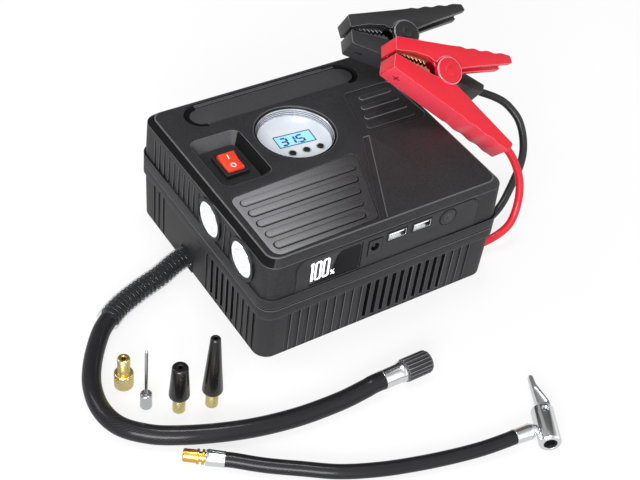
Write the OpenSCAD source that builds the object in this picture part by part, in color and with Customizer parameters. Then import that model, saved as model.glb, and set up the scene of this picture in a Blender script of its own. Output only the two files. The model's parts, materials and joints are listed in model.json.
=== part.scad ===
// Portable jump starter with a built-in air compressor: a two-shell ribbed case with
// lights, gauge, switch and port panel, a captive air hose, two battery clamps on
// cables, an extension hose with a clip-on chuck and four loose nozzles.

/* [Case] */
// Length of the case along the port side, over the band
case_l = 178; // [174:1:196]
// Width of the case from port side to label side, over the band
case_w = 162.2; // [160:0.2:176]
// Height of the case
case_h = 80.4; // [79.6:0.2:88]
// Height of the parting line between the two shells
part_z = 43.8; // [43:0.2:45]
// Wall of both shells
wall = 2.6; // [2.2:0.1:3]
// Radius of the upright corners over the band
corner_r = 10; // [8:0.5:13]
// Chamfer round the top edge
top_chamfer = 4; // [2.5:0.5:5]
// How far the walls lean in over the height of a shell
draft = 0.6; // [0.4:0.1:1.6]
// How far the band stands out from the shells
band_out = 1.2; // [1:0.1:2.4]
// Height of the band on each side of the parting line
band_h = 8; // [6.5:0.5:9]
// Width of the groove along the parting line
groove_gap = 0.8; // [0.4:0.1:1.2]
// Running clearance between pieces that fit together
fit = 0.15; // [0.1:0.05:0.25]

/* [Ribbed sides] */
// Pitch of the upright slots
slot_pitch = 6.45; // [6.2:0.05:7]
// Width of the upright slots
slot_w = 3; // [2.4:0.1:3.6]
// Depth of a blind slot
slot_d = 0.5; // [0.3:0.1:1.2]
// Number of open vents on the port side
front_vents = 10; // [6:1:12]
// Number of open vents on the light side
side_vents = 5; // [3:1:6]

/* [Gauge] */
// Radius of the sloped recess at the roof
gauge_r = 26.7; // [25.5:0.1:28]
// Radius of the white face
face_r = 24.2; // [23:0.1:24.6]
// Depth of the face below the roof
face_depth = 6; // [5:0.2:7]
// Length of the liquid crystal window
lcd_l = 25.6; // [22:0.2:28]
// Height of the liquid crystal window
lcd_w = 11; // [9:0.2:12]
// Diameter of a gauge button
gbtn_d = 4.2; // [3.6:0.1:4.8]
// Travel of a gauge button
gbtn_travel = 0.6; // [0.4:0.1:0.8]

/* [Switch] */
// Length of the rocker bezel
bezel_l = 21.5; // [20:0.1:23]
// Width of the rocker bezel
bezel_w = 16.7; // [15.5:0.1:18]
// Depth of the recess round the switch
switch_depth = 7; // [6:0.5:8]
// Tilt of the rocker to each side
rocker_tilt = 8; // [6:1:10]

/* [Port panel] */
// Length of the port panel
panel_l = 134.3; // [130:0.1:138]
// Thickness of the port panel
panel_t = 2.2; // [1.8:0.1:2.6]
// Length of the display window
window_l = 36; // [32:0.5:38]
// Diameter of the power button
pbtn_d = 12; // [10:0.5:13]
// Travel of the power button
pbtn_travel = 0.8; // [0.5:0.1:1]

/* [Lights] */
// Radius of a reflector mouth
light_r = 11; // [10:0.5:12]
// Depth of a reflector
light_depth = 13; // [11:0.5:15]
// How far the lights stand above the middle of the upper shell
light_rise = 0.7; // [0:0.1:1.5]

/* [Compressor] */
// Gear module
gear_m = 1; // [0.9:0.05:1.05]
// Teeth of the motor pinion
pinion_n = 12; // [11:1:13]
// Teeth of the crank gear
gear_n = 36; // [34:1:38]
// Throw of the crank pin
throw = 6; // [4:0.5:6.5]
// Radius of the cylinder bore
bore_r = 12; // [11.7:0.1:12.5]
// Radius of the motor
motor_r = 17.5; // [16:0.5:18]
// Length of the motor
motor_l = 52; // [44:1:56]
// Length of the connecting rod between its bearings
rod_l = 30; // [28:0.5:31]

/* [Hoses and cables] */
// Outer radius of the air hose
hose_r = 5.7; // [5.2:0.1:5.8]
// Wire radius of the spring guard
guard_wire = 0.45; // [0.35:0.05:0.5]
// Curls of the spring guard
guard_turns = 21; // [12:1:22]
// Wall of the clear sleeve
sleeve_t = 0.45; // [0.4:0.05:0.6]
// Outer radius of the extension hose
ext_r = 4.35; // [4:0.05:4.5]
// Outer radius of a clamp cable
cable_r = 2.75; // [2.4:0.05:3]

/* [Clamps] */
// Width of a clamp
clamp_w = 18.2; // [17.5:0.1:20]
// Wall of a clamp arm
clamp_wall = 2.1; // [1.8:0.1:2.3]
// Radius of the pivot boss
boss_r = 9.5; // [9:0.1:10]
// Radius of the pivot pin
pin_r = 2.6; // [2.2:0.1:2.8]

/* [Nozzles] */
// Height of the long nozzle
long_h = 57; // [50:1:64]
// Height of the short nozzle
short_h = 37; // [34:1:42]
// Height of the ball needle
needle_h = 47.5; // [44:0.5:54]
// Height of the valve adapter
adapter_h = 23.5; // [22:0.5:27]
// Radius of the nozzle threads
thread_r = 3.8; // [3.6:0.05:4]

/* [Hidden] */
$fn = 48;
eps = 0.01;
cx = case_l / 2;
cy = case_w / 2;
up_in = band_out;                        // upper walls stand in from the band
low_in = band_out;                       // lower walls stand in from the band
cav_l = case_l - 2 * (up_in + draft + wall);
cav_w = case_w - 2 * (up_in + draft + wall);
roof_z = case_h - wall;                  // underside of the roof
floor_z = wall;                          // top of the floor
front_y = -cy + up_in;                   // upper front wall at its foot
left_x = -cx + up_in;                    // upper left wall at its foot
band_top = part_z + band_h;
band_bot = part_z - band_h;

// ---------- shared shapes ----------
module rr(x, y, r) {
    square([x - 2 * r, y], center = true);
    square([x, y - 2 * r], center = true);
    for (i = [-1, 1], j = [-1, 1]) translate([i * (x / 2 - r), j * (y / 2 - r)]) circle(r);
}
module slab(x, y, r, z0, z1) translate([0, 0, z0]) linear_extrude(z1 - z0) rr(x, y, r);
module stadium(l, w, h) linear_extrude(h) {
    square([l - w, w], center = true);
    for (i = [-1, 1]) translate([i * (l - w) / 2, 0]) circle(w / 2);
}
module tube(ro, ri, h) difference() {
    cylinder(r = ro, h = h);
    translate([0, 0, -1]) cylinder(r = ri, h = h + 2);
}
function unit(v) = v / norm(v);
// corner points of a polygon [x, y, radius] turned into short straight pieces
function corner(a, b, c, r, n) =
    let (u = unit([a[0] - b[0], a[1] - b[1]]), v = unit([c[0] - b[0], c[1] - b[1]]),
         half = acos(u * v) / 2, t = r / tan(half), m = unit(u + v), o = [b[0], b[1]] + m * r / sin(half),
         p = [b[0], b[1]] + u * t - o, q = [b[0], b[1]] + v * t - o)
    r <= 0 ? [[b[0], b[1]]] : [for (i = [0 : n]) o + r * unit(p * (n - i) + q * i)];
function rounded(pts, n = 4) = let (k = len(pts))
    [for (i = [0 : k - 1]) each corner(pts[(i + k - 1) % k], pts[i], pts[(i + 1) % k], pts[i][2], n)];
// smooth curve through points, s steps in each stretch
function cr(a, b, c, d, t) = 0.5 * (2 * b + (c - a) * t + (2 * a - 5 * b + 4 * c - d) * t * t
    + (3 * b - a - 3 * c + d) * t * t * t);
function curve(p, s) = let (n = len(p)) [for (i = [0 : n - 2], j = [0 : s - 1])
    cr(p[max(i - 1, 0)], p[i], p[i + 1], p[min(i + 2, n - 1)], j / s), p[n - 1]];
function tang(p, i, d0 = 0, d1 = 0) = i == 0 && d0 != 0 ? d0 : i == len(p) - 1 && d1 != 0 ? d1
    : unit(p[min(i + 1, len(p) - 1)] - p[max(i - 1, 0)]);
// carries a cross direction along a curve without twist
function carry(p, i, v) = let (t = tang(p, i)) unit(v - (v * t) * t);
function frames(p, i = 0, v = [0, 0, 1]) =
    i >= len(p) ? [] : let (w = carry(p, i, v)) concat([w], frames(p, i + 1, w));
// round rod along a curve, its end faces square to d0 and d1 where they are given
module sweep(p, r, sides, v0 = [0, 0, 1], d0 = 0, d1 = 0) {
    f = frames(p, 0, v0);
    n = len(p);
    pts = [for (i = [0 : n - 1], k = [0 : sides - 1])
        let (t = tang(p, i, d0, d1), w = unit(f[i] - (f[i] * t) * t), s = cross(t, w), a = 360 * k / sides)
        p[i] + r * (cos(a) * w + sin(a) * s)];
    polyhedron(concat(pts, [p[0], p[n - 1]]), concat(
        [for (i = [0 : n - 2], k = [0 : sides - 1]) each let (k1 = (k + 1) % sides,
            a = i * sides + k, b = i * sides + k1, c = (i + 1) * sides + k1, d = (i + 1) * sides + k)
            [[a, c, b], [a, d, c]]],
        [for (k = [0 : sides - 1]) [n * sides, k, (k + 1) % sides]],
        [for (k = [0 : sides - 1])
            [n * sides + 1, (n - 1) * sides + (k + 1) % sides, (n - 1) * sides + k]]), 8);
}
// hollow tube along a curve
module sweep_tube(p, ro, ri, sides) {
    f = frames(p);
    n = len(p);
    pts = [for (r = [ro, ri], i = [0 : n - 1], k = [0 : sides - 1])
        let (t = tang(p, i), w = f[i], s = cross(t, w), a = 360 * k / sides)
        p[i] + r * (cos(a) * w + sin(a) * s)];
    o = n * sides;
    polyhedron(pts, concat(
        [for (i = [0 : n - 2], k = [0 : sides - 1]) each let (k1 = (k + 1) % sides,
            a = i * sides + k, b = i * sides + k1, c = (i + 1) * sides + k1, d = (i + 1) * sides + k)
            [[a, c, b], [a, d, c], [o + a, o + b, o + c], [o + a, o + c, o + d]]],
        [for (k = [0 : sides - 1]) each let (k1 = (k + 1) % sides, e = (n - 1) * sides)
            [[k, k1, o + k1], [k, o + k1, o + k],
             [e + k1, e + k, o + e + k], [e + k1, o + e + k, o + e + k1]]]), 8);
}

// ---------- case ----------
slot_top = band_bot - 0.2;
slot_bot = 0.9;
function front_x(i) = -10.5 * slot_pitch - 1.6 + i * slot_pitch;
function side_y(i) = -10 * slot_pitch - 4.7 + i * slot_pitch;
front_n = 22;
side_n = 21;
first_front_vent = 9;
first_side_vent = 4;
smooth_from = 10;                         // plain wall round the hose outlet
smooth_to = 17;
hose_y = 16;
sleeve_ri = hose_r + 2 * guard_wire + 0.35;
sleeve_ro = sleeve_ri + sleeve_t;
hose_z = sleeve_ro + 0.1;
rest_z = hose_r + 0.1;
arch_r = sleeve_ro + 1.4;
gland_y = [18.6 - cy, 35.1 - cy];
gland_z = 8;
gland_r = 5.4;
screw_at = [for (i = [-1, 1], j = [-1, 1]) [i * (cx - 17), j * (cy - 12)]];
post_r = 4.2;
screw_r = 1.5;
foot_r = 8;
foot_t = 1.4;
foot_at = [for (i = [-1, 1], j = [-1, 1]) [i * (cx - 32), j * (cy - 16)]];
lip_t = 1.1;
lip_h = 2.4;

module slot_cut(depth, z0, z1) translate([-slot_w / 2, -depth, z0])
    cube([slot_w, depth + 5, z1 - z0]);
module arch(r, l) rotate([90, 0, 90]) linear_extrude(l) {
    circle(r);
    translate([-r, -hose_z - 1]) square([2 * r, hose_z + 1]);
}
module lower_case() color("#26272a") difference() {
    union() {
        difference() {
            union() {
                hull() {
                    slab(case_l - 2 * (low_in + draft + 0.8), case_w - 2 * (low_in + draft + 0.8),
                        corner_r - 1, 0, 0.1, $fn = 32);
                    slab(case_l - 2 * (low_in + draft), case_w - 2 * (low_in + draft),
                        corner_r - 0.6, 0.9, 1, $fn = 32);
                    slab(case_l - 2 * low_in, case_w - 2 * low_in, corner_r - 0.6,
                        band_bot + 0.9, band_bot + 1, $fn = 32);
                }
                slab(case_l, case_w, corner_r, band_bot, part_z - groove_gap / 2);
            }
            slab(cav_l, cav_w, corner_r - 3, floor_z, part_z + 1);
        }
        // tongue that locates the upper shell
        difference() {
            slab(cav_l + 2 * lip_t, cav_w + 2 * lip_t, corner_r - 2, part_z - 3, part_z + lip_h);
            slab(cav_l, cav_w, corner_r - 3, part_z - 4, part_z + lip_h + 1);
        }
        for (p = screw_at) translate([p[0], p[1], floor_z - 1])
            cylinder(r = post_r, h = part_z - floor_z + 1);
    }
    // blind slots all round, open vents where the ribs let air through
    for (i = [0 : front_n - 1], s = [0, 1]) rotate([0, 0, 180 * s])
        translate([front_x(i), -cy + low_in + draft, 0]) rotate([0, 0, 180])
            slot_cut(slot_d, slot_bot, slot_top);
    for (i = [0 : side_n - 1], s = [0, 1]) if (i < smooth_from || i > smooth_to)
        rotate([0, 0, 180 * s]) translate([-cx + low_in + draft, (s == 0 ? 1 : -1) * side_y(i), 0])
            rotate([0, 0, 90]) slot_cut(slot_d, slot_bot, slot_top);
    for (i = [0 : front_vents - 1]) translate([front_x(first_front_vent + i), -cav_w / 2 + 1, 0])
        rotate([0, 0, 180]) slot_cut(2, floor_z + 0.4, slot_top - 0.6);
    for (i = [0 : side_vents - 1]) translate([-cav_l / 2 + 1, side_y(first_side_vent + i), 0])
        rotate([0, 0, 90]) slot_cut(2, floor_z + 0.4, slot_top - 0.6);
    // hose outlet, cable outlets, foot pockets and screw bores
    translate([-cx - 5, hose_y, hose_z]) arch(arch_r, 5 + cx - cav_l / 2 + 1);
    for (y = gland_y) translate([cav_l / 2 - 1, y, gland_z]) rotate([0, 90, 0])
        cylinder(r = gland_r - 1.2, h = 20);
    for (p = foot_at) translate([p[0], p[1], -1]) cylinder(r = foot_r + fit, h = foot_t + 1);
    for (p = screw_at) translate([p[0], p[1], -1]) {
        cylinder(r = screw_r + fit, h = part_z + 5);
        cylinder(r = 3.2 + fit, h = part_z - 9);
    }
}

// ---------- roof layout ----------
gauge_x = -8;
gauge_y = 20.5;
ring_ro = gauge_r - 1;
ring_ri = face_r + fit;
face_z = case_h - face_depth;
switch_x = -58.3;
switch_y = 15.8;
sw_floor = case_h - switch_depth;
pocket_l = 48;
pocket_w = 35.5;
grip = [[-79, -17.6, 5], [16.4, -13.6, 4], [-5.4, -72.2, 5], [-79.6, -73.6, 6]];
grip_depth = 1;
grip_ends = [[-74.5, 7.4, -25.2], [-74.5, 2.6, -35.2], [-74.7, -2.2, -45.1], [-74.8, -6.8, -55.2],
    [-74.9, -12.2, -65.2]];
grip_bar_w = 5.2;
rib_plate = [[42.2, 41, 4], [79, 41, 4], [81.4, 1.2, 4], [77.8, -2.6, 3], [31.4, -1.4, 3]];
rib_ends = [[49.5, 75.5, 32.4], [45, 75.5, 23], [41.2, 75.5, 13.6], [37.2, 75.5, 4.6]];
rib_bar_w = 4.6;
recess_d = 0.8;
ridge = [[28.4, -3.6], [32.8, -3.6], [-1.2, -73.6], [-5.8, -73.6]];
label_l = 132;
label_w = 24;
label_y = 61.3;
light_y = [-11.7, -50.7];
light_z = (part_z + case_h) / 2 + light_rise;
surround_r = light_r + 3;
panel_z0 = band_top + 0.2;
panel_z1 = case_h - 4.9;
panel_x = -0.5;
panel_face = front_y - 0.2;               // outer face of the port panel
panel_r = min(8, (panel_z1 - panel_z0) / 2);

module pocket(l, w, grow, z0, z1) hull() {
    translate([switch_x, switch_y, z1]) slab(w + 2 * grow, l + 2 * grow, 6, 0, 0.1, $fn = 24);
    translate([switch_x, switch_y, z0]) slab(w - 9 + 2 * grow, l - 11 + 2 * grow, 4, 0, 0.1, $fn = 24);
}
module panel_shape(l, z0, z1, r) translate([panel_x, 0]) {
    translate([-l / 2, z0]) square([l, z1 - z0 - r]);
    translate([-l / 2 + r, z0]) square([l - 2 * r, z1 - z0]);
    for (i = [-1, 1]) translate([i * (l / 2 - r), z1 - r]) circle(r);
}
module upper_case() color("#2b2c2f") difference() {
    union() {
        difference() {
            union() {
                hull() {
                    slab(case_l - 2 * up_in, case_w - 2 * up_in, corner_r - 1, band_top - 1,
                        band_top - 0.9, $fn = 32);
                    slab(case_l - 2 * (up_in + draft), case_w - 2 * (up_in + draft), corner_r - 1,
                        case_h - top_chamfer - 0.1, case_h - top_chamfer, $fn = 32);
                    slab(case_l - 2 * (up_in + draft + top_chamfer),
                        case_w - 2 * (up_in + draft + top_chamfer), corner_r - 2.5,
                        case_h - 0.1, case_h, $fn = 32);
                }
                slab(case_l, case_w, corner_r, part_z + groove_gap / 2, band_top);
                for (y = light_y) translate([-cx + 0.2, y, light_z]) rotate([0, 90, 0])
                    cylinder(r = surround_r, h = 10);
            }
            slab(cav_l, cav_w, corner_r - 3, part_z - 1, roof_z);
            slab(cav_l + 2 * (lip_t + fit), cav_w + 2 * (lip_t + fit), corner_r - 2,
                part_z - 1, part_z + lip_h);
        }
        // tray round the switch, screw posts and guide blocks for the port board
        pocket(pocket_l, pocket_w, wall, sw_floor - wall, roof_z + 0.5);
        for (p = screw_at) translate([p[0], p[1], part_z + 0.05]) {
            cylinder(r = post_r, h = roof_z - part_z + 0.5);
        }
        for (x = [-1, 1]) translate([panel_x + x * guide_x - 2, board_y - 3, roof_z - guide_h])
            cube([4, 6 + board_t, guide_h + 0.5]);
    }
    pocket(pocket_l, pocket_w, 0, sw_floor, case_h);
    translate([switch_x, switch_y, sw_floor - wall - 1]) linear_extrude(wall + 3)
        square([bezel_w - 2.4, bezel_l - 2.4], center = true);
    // gauge opening with a sloped rim
    translate([gauge_x, gauge_y, roof_z - 1]) cylinder(r = ring_ro + fit, h = wall + 2);
    translate([gauge_x, gauge_y, case_h - 2]) cylinder(r1 = ring_ro + fit, r2 = gauge_r + 0.3, h = 2.01);
    // shallow recesses of the roof
    translate([0, 0, case_h - grip_depth]) linear_extrude(5) polygon(rounded(grip));
    translate([0, 0, case_h - recess_d]) linear_extrude(5) difference() {
        polygon(rounded(rib_plate));
        for (b = rib_ends) translate([(b[0] + b[1]) / 2, b[2]]) {
            square([b[1] - b[0] - rib_bar_w, rib_bar_w], center = true);
            for (i = [-1, 1]) translate([i * (b[1] - b[0] - rib_bar_w) / 2, 0]) circle(rib_bar_w / 2);
        }
    }
    translate([0, 0, case_h - recess_d]) linear_extrude(5) polygon(ridge);
    translate([0, label_y, case_h - recess_d]) difference() {
        stadium(label_l, label_w, 5);
        translate([0, 0, -1]) stadium(label_l - 5, label_w - 5, recess_d + 0.6);
    }
    // upright ribs of the light side, repeated on the hidden sides
    for (i = [11 : side_n - 1]) for (s = [0, 1]) rotate([0, 0, 180 * s])
        translate([-cx + up_in + draft * 0.6, (s == 0 ? 1 : -1) * side_y(i), 0]) rotate([0, 0, 90])
            upper_slot();
    for (i = [5, 6]) translate([-cx + up_in + draft * 0.6, side_y(i), 0]) rotate([0, 0, 90]) upper_slot();
    for (i = [1 : front_n - 2]) rotate([0, 0, 180]) translate([front_x(i), -cy + up_in + draft * 0.6, 0])
        rotate([0, 0, 180]) upper_slot();
    // seats of the lights, the port panel and the screws
    for (y = light_y) translate([-cx - 1, y, light_z]) rotate([0, 90, 0])
        cylinder(r = light_r + 0.6 + fit, h = 14);
    translate([0, front_y + panel_t - 0.2, 0]) rotate([90, 0, 0]) linear_extrude(10)
        panel_shape(panel_l + 2 * fit, panel_z0 - fit, panel_z1 + fit, panel_r);
    translate([0, front_y + 12, 0]) rotate([90, 0, 0]) linear_extrude(20)
        panel_shape(panel_l - 6, panel_z0 + 1.4, panel_z1 - 2, panel_r - 2);
    translate([jack_x - jack_w / 2 - fit, front_y, jack_z - jack_h / 2 - fit])
        cube([jack_w + 2 * fit, usb_deep, jack_h + 2 * fit]);
    translate([pbtn_x, front_y, pbtn_z]) rotate([-90, 0, 0]) cylinder(r = pbtn_d / 2 + 1.4, h = 12);
    for (p = screw_at) translate([p[0], p[1], part_z - 1]) cylinder(r = screw_r + 0.05, h = 10);
    for (x = [-1, 1]) translate([panel_x + x * guide_x - 3, board_y - fit, roof_z - guide_h - 1])
        cube([6, board_t + 2 * fit, guide_h + 1]);
}
rib_top = case_h - 7.4;
module upper_slot() translate([0, -slot_d, 0]) rotate([-90, 0, 0]) linear_extrude(6) {
    translate([-slot_w / 2, -rib_top + slot_w / 2]) square([slot_w, rib_top - band_top - slot_w / 2]);
    translate([0, -rib_top + slot_w / 2]) circle(slot_w / 2, $fn = 24);
}

// ---------- port panel ----------
window_x = panel_x - panel_l / 2 + 27.65;  // the ports follow each other from the left end
window_h = panel_z1 - panel_z0 - 3.5;
window_z = (panel_z0 + panel_z1 - 0.7) / 2;
jack_x = window_x + window_l / 2 + 9.6;
jack_z = panel_z1 - 9.3;
usb_x = [jack_x + 15.8, jack_x + 34.4];
usb_z = panel_z1 - 5.5;
usb_l = 13.1;
usb_h = 5.4;
usb_t = 0.4;
usb_deep = 12;
pbtn_x = usb_x[1] + 20.5;
pbtn_z = panel_z1 - 7.3;
board_y = panel_face + usb_deep;          // the port board stands behind the ports
board_t = 1.6;
jack_w = 9.6;
jack_h = 11.6;
board_l = panel_l - 18.3;
guide_x = board_l / 2 - 6;
guide_h = 8;
module port_panel() color("#2f3033") difference() {
    union() {
        translate([0, panel_face + panel_t, 0]) rotate([90, 0, 0]) linear_extrude(panel_t)
            panel_shape(panel_l, panel_z0, panel_z1, panel_r);
        // collar behind the power button
        translate([pbtn_x, panel_face + panel_t, pbtn_z]) rotate([-90, 0, 0])
            cylinder(r = pbtn_d / 2 + 1, h = 3);
        // flared rims round the sockets
        for (x = usb_x) translate([x - usb_l / 2 - 1, panel_face - 0.4, usb_z - usb_h / 2 - 1])
            cube([usb_l + 2, 1, usb_h + 2]);
    }
    translate([window_x - window_l / 2, panel_face - 1, window_z - window_h / 2])
        cube([window_l, panel_t + 2, window_h]);
    for (x = usb_x) translate([x - usb_l / 2 - fit, panel_face - 1, usb_z - usb_h / 2 - fit])
        cube([usb_l + 2 * fit, 5, usb_h + 2 * fit]);
    translate([jack_x - jack_w / 2 - fit, panel_face - 1, jack_z - jack_h / 2 - fit])
        cube([jack_w + 2 * fit, 5, jack_h + 2 * fit]);
    translate([pbtn_x, panel_face - 1, pbtn_z]) rotate([-90, 0, 0]) cylinder(r = pbtn_d / 2 + fit, h = 10);
}
module display_window() color("#08090b") translate([window_x, panel_face + 0.25, window_z]) {
    translate([-window_l / 2 + fit, 0, -window_h / 2 + fit])
        cube([window_l - 2 * fit, panel_t - 0.25, window_h - 2 * fit]);
    // display block behind the window, seated on the board
    translate([-window_l / 2 + 1.5, panel_t - 0.3, -window_h / 2 + 1.5])
        cube([window_l - 3, usb_deep - panel_t + 0.05, window_h - 3]);
}
module power_button() color("#1d1e20") translate([pbtn_x, panel_face, pbtn_z]) rotate([-90, 0, 0]) {
    translate([0, 0, -0.3]) cylinder(r = pbtn_d / 2, h = panel_t + 2.9);
    translate([0, 0, panel_t + 3.3]) cylinder(r = pbtn_d / 2 + 1, h = 1);
    cylinder(r = pbtn_d / 4, h = usb_deep - pbtn_travel - 0.3);
}
module usb_shells() color("#b9bcc0") for (x = usb_x)
    translate([x, panel_face - 0.5, usb_z]) difference() {
        translate([-usb_l / 2, 0, -usb_h / 2]) cube([usb_l, usb_deep + 0.5, usb_h]);
        translate([-usb_l / 2 + usb_t, -1, -usb_h / 2 + usb_t])
            cube([usb_l - 2 * usb_t, usb_deep, usb_h - 2 * usb_t]);
    }
module usb_tongues() color("#f1f1ee") for (x = usb_x)
    translate([x - usb_l / 2 + 1, panel_face + 0.5, usb_z + 0.3])
        cube([usb_l - 2, usb_deep - 2, 1.7]);
module dc_jack() color("#141416") translate([jack_x, panel_face - 0.4, jack_z]) {
    difference() {
        translate([-jack_w / 2, 0, -jack_h / 2]) cube([jack_w, usb_deep + 0.4, jack_h]);
        rotate([-90, 0, 0]) translate([0, 0, -1]) cylinder(r = 2.9, h = 10.4);
    }
    rotate([-90, 0, 0]) translate([0, 0, 1.2]) cylinder(r = 1.05, h = 8.6);
}
module port_board() color("#1f6b3f") translate([panel_x - board_l / 2, board_y, panel_z0 + 2])
    cube([board_l, board_t, roof_z - panel_z0 - 2]);

// ---------- roof pieces ----------
module grip_panel() color("#5d5f62") difference() {
    union() {
        translate([0, 0, case_h - grip_depth]) linear_extrude(grip_depth - 0.1)
            polygon(rounded([for (p = grip) [p[0] * 1 + (p[0] < -30 ? 0.2 : -0.2),
                p[1] + (p[1] < -30 ? 0.2 : -0.2), p[2]]]));
        for (b = grip_ends) translate([(b[0] + b[1]) / 2, b[2], case_h - 0.3])
            stadium(b[1] - b[0], grip_bar_w, 0.9);
    }
}
module switch_bezel() color("#101113") translate([switch_x, switch_y, 0]) difference() {
    union() {
        slab(bezel_w, bezel_l, 1, sw_floor, sw_floor + 3);
        slab(bezel_w - 2.8, bezel_l - 2.8, 0.6, sw_floor - 15, sw_floor + 1);
        for (j = [-1, 1]) translate([j * 3, 0, sw_floor - 17]) cube([0.8, 6, 9], center = true);
    }
    translate([0, 0, sw_floor - 9]) linear_extrude(20)
        square([bezel_w - 4.8, bezel_l - 4], center = true);
    translate([-bezel_w, 0, sw_floor + 0.6]) rotate([0, 90, 0]) cylinder(r = 1.2 + 0.05, h = 2 * bezel_w);
}
module rocker_switch() color("#d8341f") translate([switch_x, switch_y, sw_floor + 0.6])
    rotate([rocker_tilt, 0, 0]) {
        rotate([90, 0, 90]) linear_extrude(bezel_w - 5.2, center = true) intersection() {
            circle(bezel_l / 2 - 2.3, $fn = 96);
            polygon([[-12, -3], [12, -3], [12, 5.4], [0, 3.4], [-12, 5.4]]);
        }
        rotate([0, 90, 0]) cylinder(r = 1.2, h = bezel_w - 3.2, center = true);
    }
module gauge_ring() color("#c9ccd0") translate([gauge_x, gauge_y, 0]) rotate_extrude($fn = 96)
    polygon([[ring_ri, face_z - 0.1], [ring_ri, face_z + 2.2], [ring_ri + 0.5, face_z + 2.6],
        [ring_ri + 0.5, case_h - 1.6], [ring_ri + 1.0, case_h - 0.6], [ring_ro, case_h - 0.8],
        [ring_ro, roof_z], [ring_ro + 2.4, roof_z], [ring_ro + 2.4, roof_z - 1.6],
        [ring_ro, roof_z - 1.6], [ring_ro, face_z - 4], [ring_ri - 1.6, face_z - 4],
        [ring_ri - 1.6, face_z - 2.2], [ring_ri, face_z - 2.2]]);
lcd_turn = -5;
lcd_dy = 0;
gbtn_at = [[-8.8, -12], [1.2, -12.9], [11.2, -13.6]];
module gauge_face() color("#f4f5f6") translate([gauge_x, gauge_y, face_z - 2.2]) difference() {
    union() {
        cylinder(r = face_r, h = 2.2, $fn = 96);
        translate([0, 0, -9]) cylinder(r = face_r - 3, h = 9.5);
    }
    rotate([0, 0, lcd_turn]) translate([-lcd_l / 2, -lcd_w / 2 + lcd_dy, 1.2]) cube([lcd_l, lcd_w, 3]);
    for (p = gbtn_at) translate([p[0], p[1], -3]) {
        cylinder(r = gbtn_d / 2 + fit, h = 9);
        cylinder(r = gbtn_d / 2 + 0.9, h = 3.4);
    }
}
module gauge_lcd() color("#8fd3ea") translate([gauge_x, gauge_y, face_z - 1]) rotate([0, 0, lcd_turn])
    translate([-lcd_l / 2 + fit, -lcd_w / 2 + lcd_dy + fit, 0]) cube([lcd_l - 2 * fit, lcd_w - 2 * fit, 0.9]);
module gauge_button(i) color("#17181a") translate([gauge_x + gbtn_at[i][0], gauge_y + gbtn_at[i][1],
    face_z - 2.2]) {
        translate([0, 0, -1.2]) cylinder(r = gbtn_d / 2, h = 4.3);
        translate([0, 0, -1.2 - gbtn_travel]) cylinder(r = gbtn_d / 2 + 0.6, h = gbtn_travel + 0.9);
    }

// ---------- lights ----------
module light_reflectors() color("#d5d9dc") for (y = light_y)
    translate([-cx + 1, y, light_z]) rotate([0, 90, 0]) rotate_extrude($fn = 72)
        polygon([[light_r + 0.6, 0], [light_r + 0.6, 3], [light_r - 1.2, 6.5], [light_r - 4, light_depth - 2.5],
            [4, light_depth], [0, light_depth], [0, light_depth - 1.4], [3, light_depth - 1.4],
            [light_r - 5, light_depth - 3.6], [light_r - 2.4, 6.4], [light_r - 0.7, 2.2], [light_r - 0.3, 1.5],
            [light_r, 1.5], [light_r, 0]]);
module light_lenses() color([0.85, 0.9, 0.95, 0.35]) for (y = light_y)
    translate([-cx + 1, y, light_z]) rotate([0, 90, 0]) rotate_extrude($fn = 72)
        polygon([[0, -0.6], [light_r * 0.6, -0.3], [light_r - 0.1, 0.1], [light_r - 0.1, 1.5], [0, 1.5]]);
module light_emitters() color("#f3e9a8") for (y = light_y)
    translate([-cx + 1 + light_depth - 2.6, y, light_z]) rotate([0, 90, 0]) {
        translate([0, 0, 0.4]) cylinder(r = 2.4, h = 0.8);
        sphere(r = 1.1, $fn = 24);
    }

// ---------- base pieces ----------
module rubber_feet() color("#131314") for (p = foot_at) translate([p[0], p[1], 0])
    cylinder(r = foot_r, h = foot_t);
module case_screws() color("#8d9094") for (p = screw_at) translate([p[0], p[1], part_z - 10]) {
    translate([0, 0, -2]) difference() {
        cylinder(r = 3.2, h = 2);
        translate([0, 0, -0.5]) for (a = [0, 90]) rotate([0, 0, a])
            translate([-2, -0.4, 0]) cube([4, 0.8, 1.3]);
    }
    cylinder(r = screw_r, h = 18);
}
module hose_grommet() color("#111213") difference() {
    translate([-cx + low_in + draft - 0.4, hose_y, hose_z]) {
        intersection() {
            arch(arch_r - fit, cx - low_in - draft - cav_l / 2 + 0.4);
            translate([-1, -20, -hose_z]) cube([20, 40, 40]);
        }
        translate([cx - low_in - draft - cav_l / 2 + 0.4, 0, 0]) intersection() {
            arch(arch_r + 1.4, 1.6);
            translate([-1, -20, -hose_z + floor_z]) cube([20, 40, 40]);
        }
    }
    translate([-cx - 5, hose_y, hose_z]) rotate([0, 90, 0]) cylinder(r = sleeve_ro + fit, h = 30);
}
gland_x = cx - low_in - draft;
gland_end = 94;
module cable_glands() color("#17181a") for (i = [0, 1]) translate([0, gland_y[i], gland_z])
    rotate([0, 90, 0]) difference() {
        union() {
            translate([0, 0, cav_l / 2 - 1.8]) cylinder(r = gland_r, h = 1.8);
            translate([0, 0, cav_l / 2 - 1]) cylinder(r = gland_r - 1.25, h = gland_x - cav_l / 2 + 1);
            translate([0, 0, gland_x + 0.9]) cylinder(r1 = gland_r, r2 = gland_r - 0.4, h = 1.2);
            translate([0, 0, gland_x]) cylinder(r1 = gland_r - 1.25, r2 = cable_r + 1, h = gland_end - gland_x);
        }
        translate([0, 0, cav_l / 2 - 5]) cylinder(r = cable_r + 0.05, h = 40);
    }

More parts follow.
